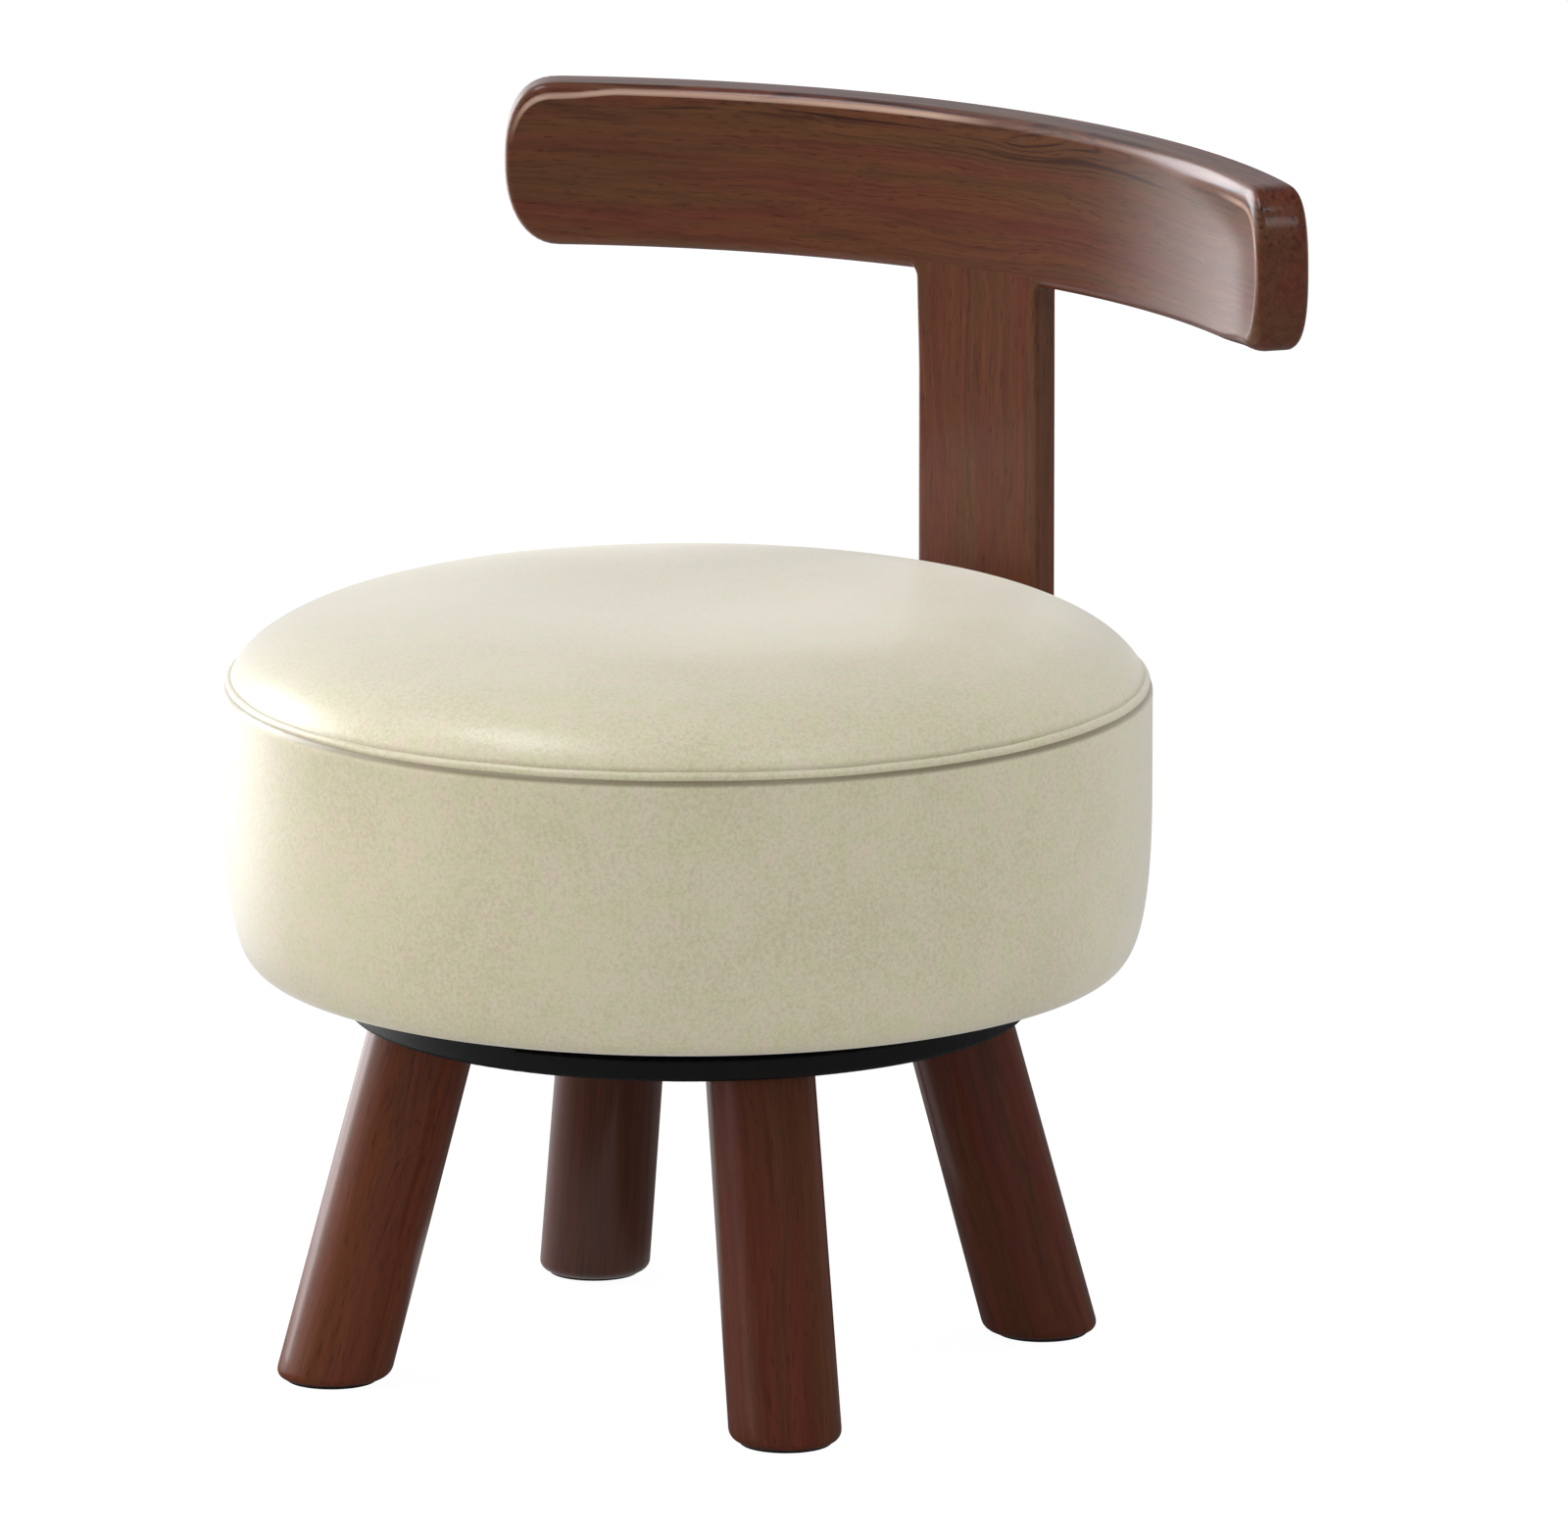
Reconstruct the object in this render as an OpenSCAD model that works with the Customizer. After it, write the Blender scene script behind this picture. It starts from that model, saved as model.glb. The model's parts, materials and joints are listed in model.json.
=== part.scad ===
// Low swivel stool with a round drum seat, a curved back rail on one post, and four splayed round legs.
// Millimetres, +Z up, floor at Z = 0, backrest towards +Y. The origin is under the middle of the whole stool.

/* [Seat] */
// Diameter of the drum at its widest
seat_d = 340; // [320:1:380]
// Height from the underside of the seat board to the piped seam
drum_h = 104.7; // [98:0.1:120]
// Rise of the padded crown above the piped seam
crown_h = 29; // [22:0.5:38]
// How far the piped seam is drawn in from the widest radius
seam_draw = 2.6; // [2:0.1:4]
// How far the band is drawn in where it meets the seam
band_draw = 2; // [0.5:0.1:2.4]
// Height of the widest level above the underside of the seat board
wide_level = 66.7; // [58:0.1:76]
// Width of the rounded lower edge, measured in from the widest radius
edge_w = 25; // [20:0.5:28]
// Diameter of the piping cord in its leather
piping_d = 4; // [3:0.1:5]
// Thickness of the leather
leather_t = 1.2; // [0.8:0.1:1.6]
// Width of the leather turned under the seat board
hem_w = 17; // [12:0.5:22]

/* [Seat frame] */
// Padding between the wooden frame's radius and the drum's
padding_w = 20; // [17:0.5:24]
// Thickness of the plywood seat board
board_t = 12; // [9:0.5:15]
// Wall of the bent plywood hoop
hoop_t = 9; // [6:0.5:12]
// Thickness of the plywood lid on the hoop
lid_t = 9; // [6:0.5:12]
// Depth of the foam's step from the lid up to the seam
lid_drop = 9.7; // [7:0.1:13]
// Width of the wooden blocks that the post is bolted to
block_w = 50; // [42:1:60]
// Thickness of the backing block inside the hoop
backing_t = 18; // [14:0.5:24]

/* [Backrest] */
// Width of the post
post_w = 55; // [46:0.5:64]
// Thickness of the post
post_t = 12; // [10:0.5:16]
// Clear height from the top of the crown to the rail
back_rise = 93.5; // [70:0.1:140]
// Height of the rail
rail_h = 61.5; // [50:0.5:80]
// Thickness of the rail
rail_t = 20; // [18:0.5:26]
// Radius of the rail's hollow front face
rail_r = 287; // [250:1:360]
// Straight distance between the rail's two tips
rail_span = 380; // [330:1:400]
// Length of the rounded tip along the rail
tip_w = 21; // [14:0.5:28]
// Rounding of the rail's edges
rail_edge = 4; // [2:0.5:6]
// Rounding of the post's edges
post_edge = 2; // [1:0.5:3]
// Small fillet where the post runs into the rail
post_fillet = 3; // [1:0.5:5]
// Height of the post's foot above the underside of the seat board
post_rise = 4; // [2:0.5:8]
// Width of the tenon on the post's top
tenon_w = 38; // [30:1:42]
// Thickness of the tenon
tenon_t = 7; // [6:0.5:8]
// Height of the tenon
tenon_h = 32; // [22:1:40]
// Distance between the post's bolts
bolt_pitch = 22; // [16:0.5:26]

/* [Legs] */
// Height of the disc's underside above the floor
leg_h = 132.3; // [116:0.1:160]
// Leg diameter at the disc
leg_top_d = 39.6; // [36:0.1:44]
// Leg diameter at the floor
leg_foot_d = 41; // [36:0.1:46]
// Splay of the legs from upright, in degrees
leg_splay = 15.2; // [13:0.1:17]
// Radius of the circle through the middles of the feet
foot_circle_r = 135; // [126:0.5:140]
// Rounding of the foot
foot_round = 4; // [2:0.5:6]
// Diameter of the felt pad under the foot
pad_d = 30; // [20:0.5:31]
// Thickness of the felt pad
pad_t = 2; // [1.5:0.1:4]
// Turn of the legs against the backrest, away from square, in degrees
base_turn = 8.9; // [-40:0.1:40]

/* [Base disc and swivel] */
// Diameter of the black disc
disc_d = 250; // [246:1:260]
// Thickness of the black disc
disc_t = 9; // [8:0.5:14]
// Rounding of the disc's edges
disc_edge = 1.5; // [0.5:0.1:3]
// Side of the square bearing plates
plate_w = 120; // [110:1:124]
// Thickness of the bearing plates
plate_t = 1.5; // [1.2:0.1:2]
// Height of the whole bearing
bearing_h = 8; // [7.6:0.1:9]
// Corner radius of the bearing plates
plate_corner = 10; // [6:0.5:14]
// Distance of the plate's screws from its edges
screw_inset = 9; // [8:0.5:12]
// Radius of the ball circle
race_r = 36; // [32:0.5:42]
// Number of balls
ball_count = 24; // [16:1:26]
// Depth of the ball groove in each plate
groove_depth = 0.2; // [0.1:0.05:0.4]
// Outer radius of the hollow rivet that holds the plates together
collar_r = 14; // [12:0.5:18]
// Wall of the hollow rivet
collar_wall = 1.5; // [1:0.1:2]

/* [Fasteners] */
// Shank diameter of the leg and post bolts
bolt_d = 6; // [5:0.5:8]
// Distance of each leg's two bolts from its middle
leg_bolt_offset = 9; // [8:0.5:10]
// Length of the brass inserts in the legs
insert_l = 15; // [10:0.5:20]
// Outer diameter of the brass inserts
insert_d = 9; // [8.5:0.1:10]
// Shank diameter of the bearing screws
screw_d = 3.5; // [3:0.1:4]
// Number of staples round the hem
staple_count = 32; // [20:1:40]

/* [Hidden] */

// Clearances
fit_gap = 0.1;
run_gap = 0.05;
skin_gap = 0.1;
post_gap = 0.5;
bolt_gap = 0.3;
// How far a cutting shape runs past what it cuts
past = 1;

// Levels, from the floor up
disc_top = leg_h + disc_t;
board_z = disc_top + bearing_h;
under_z = board_z - leather_t;
seam_z = board_z + drum_h;
wide_z = board_z + wide_level;
lid_top = seam_z - lid_drop;
hoop_z = board_z + board_t;
hoop_h = lid_top - lid_t - hoop_z;
crown_z = seam_z + crown_h;
rail_z = crown_z + back_rise;

// Radii, from the swivel axis out
seat_r = seat_d/2;
seam_r = seat_r - seam_draw;
band_r = seat_r - band_draw;
edge_r = seat_r - edge_w;
frame_r = seat_r - padding_w;
hem_r = edge_r - hem_w;
piping_r = piping_d/2;

// The crown and the lower edge are superellipses with these powers
crown_power_r = 5.5;
crown_power_z = 1.6;
edge_power_r = 4.3;
edge_power_z = 2.5;
crown_steps = 24;
band_steps = 8;
edge_steps = 20;

// The welt that the piping is sewn in by
welt_w = 11;
welt_t = 1.2;
stitch_gap = 0.2;

// Backrest
post_y = seat_r + post_gap;
rail_centre_y = post_y - rail_r;
rail_mid_r = rail_r + rail_t/2;
rail_half = asin(rail_span/2/(rail_r + rail_t));
rail_len = rail_mid_r*rail_half*PI/180;
post_z = board_z + post_rise;
post_foot_r = 6;
tenon_gap = 0.15;
mortise_room = 0.5;
tip_steps = 12;
rail_steps = 28;
round_steps = 5;

// Where the swivel axis stands, so that the origin is in the middle of the stool's depth
swivel_y = (seat_r - (post_y + rail_t))/2;

// Balls and races
ball_r = (bearing_h - 2*plate_t)/2 + groove_depth - run_gap;
ball_z = disc_top + bearing_h/2;
cage_t = 0.8;
cage_w = 7;
retainer_w = 5;
retainer_t = 1.2;
collar_lip = 0.4;
collar_rise = retainer_t + collar_lip;
collar_top = board_z + collar_rise;
recess_room = 3;
board_recess_r = collar_r + retainer_w + recess_room;
board_recess_h = collar_rise + recess_room/2;
// Height of the bevel that eases the seat board's lower rim into the leather's rounded edge
board_ease = 2;
plate_hole_xy = plate_w/2 - screw_inset;
access_r = 6;
access_at = plate_hole_xy*sqrt(2);

// Fasteners
bolt_r = bolt_d/2;
washer_r = bolt_d;
washer_t = 1.2;
leg_bolt_head_r = 5.2;
leg_bolt_head_h = 3.3;
post_bolt_head_r = 7.5;
post_bolt_head_h = 2.5;
socket_w = 4;
socket_depth = 1.6;
screw_head_r = 3.5;
screw_head_h = 1.9;
// Wood left under a screw's hole, and the room in the hole beyond the screw's tip
screw_floor = 1;
screw_tip = 0.5;
lower_screw_l = disc_t + plate_t - screw_floor - screw_tip;
upper_screw_l = board_t - screw_floor - screw_tip;
leg_mid_r = foot_circle_r - leg_h*tan(leg_splay);
insert_room = 2;
insert_hole_h = insert_l + insert_room;
leg_bolt_l = washer_t + disc_t + insert_l;
t_nut_flange_r = 9;
t_nut_flange_t = 1.5;
t_nut_barrel_r = 4.2;
t_nut_barrel_l = 11;
block_margin = 1;
block_h = hoop_h - 2*block_margin;
block_mid_z = hoop_z + hoop_h/2;
backing_y = frame_r - hoop_t - backing_t;
// How far a post bolt runs past its T nut
bolt_end = 3;
post_bolt_l = post_y + post_t - backing_y + bolt_end;

// Hem, staples and dust cover
cloth_t = 0.5;
dust_margin = 6;
dust_inner_r = plate_w/2*sqrt(2) + dust_margin;
dust_lap = 12;
staple_w = 9;
staple_t = 0.5;
staple_leg = 6;
staple_r = hem_r + dust_lap/2;

leg_sides = 48;
$fn = 64;

walnut = [0.36, 0.21, 0.15];
leather = [0.84, 0.82, 0.72];
black = [0.08, 0.08, 0.09];
steel = [0.66, 0.67, 0.68];
brass = [0.78, 0.62, 0.3];
plywood = [0.82, 0.68, 0.48];
foam = [0.93, 0.88, 0.66];

// Everything that turns with the seat is drawn on the swivel axis
module seat_frame() {
    translate([0, swivel_y, 0]) children();
}

// Everything that stands still is drawn on the swivel axis too, turned as the legs stand
module base_frame() {
    translate([0, swivel_y, 0]) rotate(base_turn) children();
}

// Four places at the corners of a square
module at_corners(half) {
    for (corner = [0:3]) rotate(90*corner) translate([half, half, 0]) children();
}

// The eight bolt places, two to a leg, side by side across the leg
module at_leg_bolts() {
    for (leg = [0:3], side = [-1, 1])
        rotate(45 + 90*leg) translate([leg_mid_r, side*leg_bolt_offset, 0]) children();
}

// The three bolt places on the post, looking along the bolts towards the seat's middle
module at_post_bolts(y) {
    for (row = [-1:1]) translate([0, y, block_mid_z + row*bolt_pitch]) rotate([90, 0, 0]) children();
}

// A rectangle with true round corners
module round_rect(w, d, r) {
    square([w - 2*r, d], center = true);
    square([w, d - 2*r], center = true);
    for (x = [-1, 1], y = [-1, 1]) translate([x*(w/2 - r), y*(d/2 - r)]) circle(r = r);
}

// Half the section of a disc with rounded rims, from its bottom at Y = 0
module rim_section(r, h, edge) {
    square([r - edge, h]);
    translate([0, edge]) square([r, h - 2*edge]);
    for (y = [edge, h - edge]) translate([r - edge, y]) circle(r = edge);
}

// A bolt or screw along +Z: the head's top is at Z = 0 and the shank goes down
module headed(head_r, head_h, shank_r, shank_l) {
    difference() {
        union() {
            translate([0, 0, -head_h]) cylinder(r = head_r, h = head_h);
            translate([0, 0, -head_h - shank_l]) cylinder(r = shank_r, h = shank_l + head_h/2);
        }
        translate([0, 0, -socket_depth]) cylinder(d = socket_w, h = socket_depth + past, $fn = 6);
    }
}

// Outline of the drum, shrunk by inset: the crown, the band and the rounded lower edge
function crown_points(inset) = [for (i = [0:crown_steps])
    let (t = 90*i/crown_steps)
    [(seam_r - inset)*pow(sin(t), 2/crown_power_r),
        seam_z + (crown_h - inset)*pow(cos(t), 2/crown_power_z)]];
function band_points(inset) = [for (i = [0:band_steps])
    let (k = i/band_steps)
    [band_r + band_draw*sqrt(1 - pow(1 - k, 2)) - inset, seam_z + (wide_z - seam_z)*k]];
function edge_points(inset) = [for (i = [1:edge_steps])
    let (t = 90*i/edge_steps)
    [edge_r + (seat_r - inset - edge_r)*pow(cos(t), 2/edge_power_r),
        wide_z - (wide_z - under_z - inset)*pow(sin(t), 2/edge_power_z)]];

module drum_section(inset) {
    polygon(concat([[0, under_z + inset]], crown_points(inset), band_points(inset), edge_points(inset)));
}

// Room for the piping and its welt, wider than they are by gap
module welt_section(gap) {
    translate([seam_r, seam_z]) circle(r = piping_r + gap);
    translate([seam_r - welt_w, seam_z - welt_t/2 - gap]) square([welt_w, welt_t + 2*gap]);
}

// A round leg leaning out along +X: each level slice is an ellipse, and the foot is rounded
function leg_level(k) = k <= round_steps
    ? pad_t + foot_round*(1 - cos(90*k/round_steps))
    : leg_h;
function leg_inset(k) = k <= round_steps ? foot_round*(1 - sin(90*k/round_steps)) : 0;
function leg_radius(z) = (leg_foot_d + (leg_top_d - leg_foot_d)*z/leg_h)/2;
function leg_ring(k) = let (z = leg_level(k), r = leg_radius(z), inset = leg_inset(k))
    [for (j = [0:leg_sides - 1]) let (a = 360*j/leg_sides)
        [foot_circle_r - z*tan(leg_splay) + (r/cos(leg_splay) - inset)*cos(a), (r - inset)*sin(a), z]];

// Faces between rings of n points, with the quads split in two
function skin_faces(rings, n) = [for (k = [0:rings - 2], j = [0:n - 1], half = [0, 1])
    let (a = k*n + j, b = k*n + (j + 1)%n, c = a + n, d = b + n)
    half == 0 ? [a, c, b] : [b, c, d]];

module leg(quarter) {
    rings = round_steps + 2;
    points = [for (k = [0:rings - 1]) each leg_ring(k)];
    foot = [[for (j = [0:leg_sides - 1]) j]];
    top = [[for (j = [leg_sides - 1:-1:0]) (rings - 1)*leg_sides + j]];
    color(walnut) base_frame() rotate(45 + 90*quarter) difference() {
        polyhedron(points = points, faces = concat(skin_faces(rings, leg_sides), foot, top));
        for (side = [-1, 1])
            translate([leg_mid_r, side*leg_bolt_offset, leg_h - insert_hole_h])
                cylinder(d = insert_d + 2*fit_gap, h = insert_hole_h + past);
    }
}

module leg_back_right() { leg(0); }
module leg_back_left() { leg(1); }
module leg_front_left() { leg(2); }
module leg_front_right() { leg(3); }

module foot_pads() {
    color(black) base_frame() for (leg = [0:3])
        rotate(45 + 90*leg) translate([foot_circle_r - pad_t*tan(leg_splay), 0, 0])
            cylinder(d = pad_d, h = pad_t);
}

module base_disc() {
    color(black) base_frame() difference() {
        translate([0, 0, leg_h]) rotate_extrude() rim_section(disc_d/2, disc_t, disc_edge);
        at_leg_bolts() translate([0, 0, leg_h - past]) cylinder(r = bolt_r + bolt_gap, h = disc_t + 2*past);
        at_corners(plate_hole_xy) translate([0, 0, leg_h + screw_floor])
            cylinder(d = screw_d + 2*fit_gap, h = disc_t);
        translate([access_at, 0, leg_h - past]) cylinder(r = access_r, h = disc_t + 2*past);
    }
}

module leg_inserts() {
    color(brass) base_frame() at_leg_bolts() translate([0, 0, leg_h - insert_l]) difference() {
        cylinder(d = insert_d, h = insert_l);
        translate([0, 0, -past]) cylinder(r = bolt_r + run_gap, h = insert_l + 2*past);
    }
}

module leg_bolts() {
    color(steel) base_frame() at_leg_bolts()
        translate([0, 0, disc_top + washer_t + leg_bolt_head_h])
            headed(leg_bolt_head_r, leg_bolt_head_h, bolt_r, leg_bolt_l);
}

module leg_washers() {
    color(steel) base_frame() at_leg_bolts() translate([0, 0, disc_top]) difference() {
        cylinder(r = washer_r, h = washer_t);
        translate([0, 0, -past]) cylinder(r = bolt_r + bolt_gap, h = washer_t + 2*past);
    }
}

// A square bearing plate with its corner holes, a middle hole and the ball groove
module bearing_plate(z, hole_r) {
    difference() {
        translate([0, 0, z]) linear_extrude(plate_t) round_rect(plate_w, plate_w, plate_corner);
        at_corners(plate_hole_xy) translate([0, 0, z - past])
            cylinder(r = screw_d/2 + bolt_gap, h = plate_t + 2*past);
        translate([0, 0, z - past]) cylinder(r = hole_r, h = plate_t + 2*past);
        translate([0, 0, ball_z]) rotate_extrude() translate([race_r, 0]) circle(r = ball_r + run_gap);
    }
}

module bearing_lower_plate() {
    color(steel) base_frame() union() {
        bearing_plate(disc_top, collar_r - collar_wall/2);
        translate([0, 0, disc_top]) difference() {
            cylinder(r = collar_r, h = collar_top - disc_top);
            translate([0, 0, -past])
                cylinder(r = collar_r - collar_wall, h = collar_top - disc_top + 2*past);
        }
    }
}

module bearing_retainer() {
    color(steel) base_frame() translate([0, 0, board_z + fit_gap]) difference() {
        cylinder(r = collar_r + retainer_w, h = retainer_t);
        translate([0, 0, -past]) cylinder(r = collar_r + run_gap, h = retainer_t + 2*past);
    }
}

module lower_screws() {
    color(steel) base_frame() at_corners(plate_hole_xy)
        translate([0, 0, disc_top + plate_t + screw_head_h])
            headed(screw_head_r, screw_head_h, screw_d/2, lower_screw_l);
}

module bearing_balls() {
    color(steel) base_frame() for (i = [0:ball_count - 1])
        rotate(360*i/ball_count) translate([race_r, 0, ball_z]) sphere(r = ball_r);
}

module ball_cage() {
    color(brass) base_frame() translate([0, 0, ball_z - cage_t/2]) difference() {
        cylinder(r = race_r + cage_w/2, h = cage_t);
        translate([0, 0, -past]) cylinder(r = race_r - cage_w/2, h = cage_t + 2*past);
        for (i = [0:ball_count - 1])
            rotate(360*i/ball_count) translate([race_r, 0, -past])
                cylinder(r = ball_r + fit_gap, h = cage_t + 2*past);
    }
}

module bearing_upper_plate() {
    color(steel) seat_frame() bearing_plate(board_z - plate_t, collar_r + run_gap);
}

module upper_screws() {
    color(steel) seat_frame() at_corners(plate_hole_xy)
        translate([0, 0, board_z - plate_t - screw_head_h]) mirror([0, 0, 1])
            headed(screw_head_r, screw_head_h, screw_d/2, upper_screw_l + plate_t);
}

module seat_board() {
    color(plywood) seat_frame() difference() {
        union() {
            translate([0, 0, board_z]) cylinder(r1 = min(edge_r, frame_r), r2 = frame_r, h = board_ease);
            translate([0, 0, board_z + board_ease]) cylinder(r = frame_r, h = board_t - board_ease);
        }
        translate([0, 0, board_z - past]) cylinder(r = board_recess_r, h = board_recess_h + past);
        at_corners(plate_hole_xy) translate([0, 0, board_z - past])
            cylinder(d = screw_d + 2*fit_gap, h = upper_screw_l + screw_tip + past);
    }
}

// A hole for a post bolt through the wooden pieces
module post_bolt_holes(r) {
    at_post_bolts(post_y + post_t + past) cylinder(r = r, h = post_bolt_l + 2*past);
}

module seat_hoop() {
    color(plywood) seat_frame() difference() {
        translate([0, 0, hoop_z]) cylinder(r = frame_r, h = hoop_h);
        translate([0, 0, hoop_z - past]) cylinder(r = frame_r - hoop_t, h = hoop_h + 2*past);
        post_bolt_holes(bolt_r + bolt_gap);
    }
}

module seat_lid() {
    color(plywood) seat_frame() translate([0, 0, lid_top - lid_t]) cylinder(r = frame_r, h = lid_t);
}

module backing_block() {
    color(plywood) seat_frame() difference() {
        intersection() {
            translate([-block_w/2, backing_y, block_mid_z - block_h/2])
                cube([block_w, backing_t + hoop_t, block_h]);
            translate([0, 0, hoop_z]) cylinder(r = frame_r - hoop_t - run_gap, h = hoop_h);
        }
        post_bolt_holes(bolt_r + bolt_gap);
        at_post_bolts(backing_y + t_nut_barrel_l + past)
            cylinder(r = t_nut_barrel_r + fit_gap, h = t_nut_barrel_l + 2*past);
    }
}

// A box round the spacer block's place, wider than it is by gap
module spacer_box(gap) {
    translate([-block_w/2 - gap, frame_r/2, block_mid_z - block_h/2 - gap])
        cube([block_w + 2*gap, seat_r, block_h + 2*gap]);
}

// The block between the hoop and the leather, which the post is pulled against
module spacer_block() {
    color(plywood) seat_frame() difference() {
        intersection() {
            spacer_box(0);
            rotate_extrude() difference() {
                drum_section(leather_t + skin_gap);
                square([frame_r + run_gap, crown_z]);
            }
        }
        post_bolt_holes(bolt_r + bolt_gap);
    }
}

module side_foam() {
    color(foam) seat_frame() difference() {
        rotate_extrude() difference() {
            drum_section(leather_t + skin_gap);
            square([frame_r + skin_gap, crown_z]);
            translate([0, seam_z - welt_t/2 - stitch_gap]) square([seat_r, 2*crown_h]);
            welt_section(stitch_gap);
        }
        spacer_box(fit_gap);
    }
}

// The crown's foam lies on the lid, with a thinner brim over the side foam
module crown_foam() {
    color(foam) seat_frame() rotate_extrude() difference() {
        drum_section(leather_t + skin_gap);
        square([seat_r, lid_top + skin_gap]);
        translate([frame_r, 0]) square([seat_r, seam_z + welt_t/2 + stitch_gap]);
        welt_section(stitch_gap);
    }
}

module side_cover() {
    color(leather) seat_frame() difference() {
        rotate_extrude() difference() {
            drum_section(0);
            drum_section(leather_t);
            square([hem_r, seam_z]);
            translate([0, seam_z - welt_t/2 - run_gap]) square([seat_r + past, 2*crown_h]);
            welt_section(run_gap);
        }
        post_bolt_holes(bolt_r + bolt_gap);
    }
}

module crown_cover() {
    color(leather) seat_frame() rotate_extrude() difference() {
        drum_section(0);
        drum_section(leather_t);
        square([seat_r + past, seam_z + welt_t/2 + run_gap]);
        welt_section(run_gap);
    }
}

module piping() {
    color(leather) seat_frame() rotate_extrude() welt_section(0);
}

// Black cloth under the seat: flat on the board, with its rim lapped over the hem
module dust_cover() {
    slope = leather_t;
    upper = [[dust_inner_r, board_z], [hem_r - slope - fit_gap, board_z], [hem_r - fit_gap, under_z],
        [hem_r + dust_lap, under_z]];
    lower = [for (i = [3:-1:0]) upper[i] - [i == 1 || i == 2 ? cloth_t/2 : 0, cloth_t]];
    color(black) seat_frame() rotate_extrude() polygon(concat(upper, lower));
}

module cover_staples() {
    color(steel) seat_frame() for (i = [0:staple_count - 1])
        rotate(360*(i + 0.5)/staple_count) translate([staple_r, 0, under_z - cloth_t - staple_t]) {
            translate([-staple_t/2, -staple_w/2, 0]) cube([staple_t, staple_w, staple_t]);
            for (end = [-1, 1]) translate([-staple_t/2, end*(staple_w - staple_t)/2 - staple_t/2, 0])
                cube([staple_t, staple_t, staple_leg]);
        }
}

module back_post() {
    color(walnut) seat_frame() difference() {
        union() {
            intersection() {
                translate([0, post_y + post_t/2, post_z]) linear_extrude(rail_z - post_z)
                    round_rect(post_w, post_t, post_edge);
                translate([0, post_y + post_t + past, 0]) rotate([90, 0, 0]) linear_extrude(post_t + 2*past) {
                    translate([-post_w/2, post_z + post_foot_r]) square([post_w, rail_z - post_z]);
                    translate([-post_w/2 + post_foot_r, post_z])
                        square([post_w - 2*post_foot_r, 2*post_foot_r]);
                    for (side = [-1, 1])
                        translate([side*(post_w/2 - post_foot_r), post_z + post_foot_r])
                            circle(r = post_foot_r);
                }
            }
            translate([0, post_y + post_t, 0]) rotate([90, 0, 0]) linear_extrude(post_t) difference() {
                translate([-post_w/2 - post_fillet, rail_z - post_fillet])
                    square([post_w + 2*post_fillet, post_fillet]);
                for (side = [-1, 1])
                    translate([side*(post_w/2 + post_fillet), rail_z - post_fillet])
                        circle(r = post_fillet);
            }
            translate([-tenon_w/2, post_y + (post_t - tenon_t)/2, rail_z - past])
                cube([tenon_w, tenon_t, tenon_h + past]);
        }
        post_bolt_holes(bolt_r + bolt_gap);
    }
}

// Half the outline of the rail, seen from the front and unrolled: from the left tip to the right one
// along the top, with the ends as quarter ellipses and everything inset by the edge's rounding
function rail_outline(inset) = let (mid = rail_len - tip_w) concat(
    [for (i = [0:tip_steps]) let (t = 90*i/tip_steps)
        [-mid - (tip_w - inset)*cos(t), (rail_h/2 - inset)*sin(t)]],
    [for (i = [1:rail_steps - 1]) [-mid + 2*mid*i/rail_steps, rail_h/2 - inset]],
    [for (i = [tip_steps:-1:0]) let (t = 90*i/tip_steps)
        [mid + (tip_w - inset)*cos(t), (rail_h/2 - inset)*sin(t)]]);

// The same outline closed round the bottom
function rail_loop(inset) = let (top = rail_outline(inset), n = len(top)) concat(top,
    [for (i = [n - 2:-1:1]) [top[i][0], -top[i][1]]]);

// Wraps a point of the outline round the rail's curve, depth mm behind the front face
function rail_wrap(p, depth) = let (a = p[0]/rail_mid_r*180/PI, r = rail_r + depth)
    [r*sin(a), rail_centre_y + r*cos(a), rail_z + rail_h/2 + p[1]];

// Rings from the front face to the back face: rounding, flat, rounding
function rail_rings() = concat(
    [for (k = [0:round_steps]) let (t = 90*k/round_steps)
        [rail_edge*(1 - sin(t)), rail_edge*(1 - cos(t))]],
    [for (k = [round_steps:-1:0]) let (t = 90*k/round_steps)
        [rail_edge*(1 - sin(t)), rail_t - rail_edge*(1 - cos(t))]]);

// A face made of upright strips between the top and the bottom of one ring
function cap_faces(first, half_n, n, front) = [for (i = [0:half_n - 2], half = [0, 1])
    let (a = first + i, b = first + i + 1, c = first + (n - i)%n, d = first + n - i - 1,
        tri = half == 0 ? [a, b, d] : [a, d, c])
    if (tri[0] != tri[1] && tri[1] != tri[2] && tri[0] != tri[2])
        front ? tri : [tri[2], tri[1], tri[0]]];

module rail_body() {
    rings = rail_rings();
    half_n = len(rail_outline(0));
    n = 2*half_n - 2;
    points = [for (ring = rings) each [for (p = rail_loop(ring[0])) rail_wrap(p, ring[1])]];
    faces = concat(skin_faces(len(rings), n), cap_faces(0, half_n, n, true),
        cap_faces((len(rings) - 1)*n, half_n, n, false));
    polyhedron(points = points, faces = faces);
}

module back_rail() {
    seat_w = post_w + 2*post_fillet;
    color(walnut) seat_frame() difference() {
        union() {
            rail_body();
            translate([-seat_w/2, post_y, rail_z]) cube([seat_w, post_t, 2*rail_edge]);
        }
        translate([-tenon_w/2 - tenon_gap, post_y + (post_t - tenon_t)/2 - tenon_gap, rail_z - past])
            cube([tenon_w + 2*tenon_gap, tenon_t + 2*tenon_gap, tenon_h + mortise_room + past]);
    }
}

module post_bolts() {
    color(steel) seat_frame() at_post_bolts(post_y + post_t + post_bolt_head_h)
        rotate([180, 0, 0]) headed(post_bolt_head_r, post_bolt_head_h, bolt_r, post_bolt_l);
}

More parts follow.
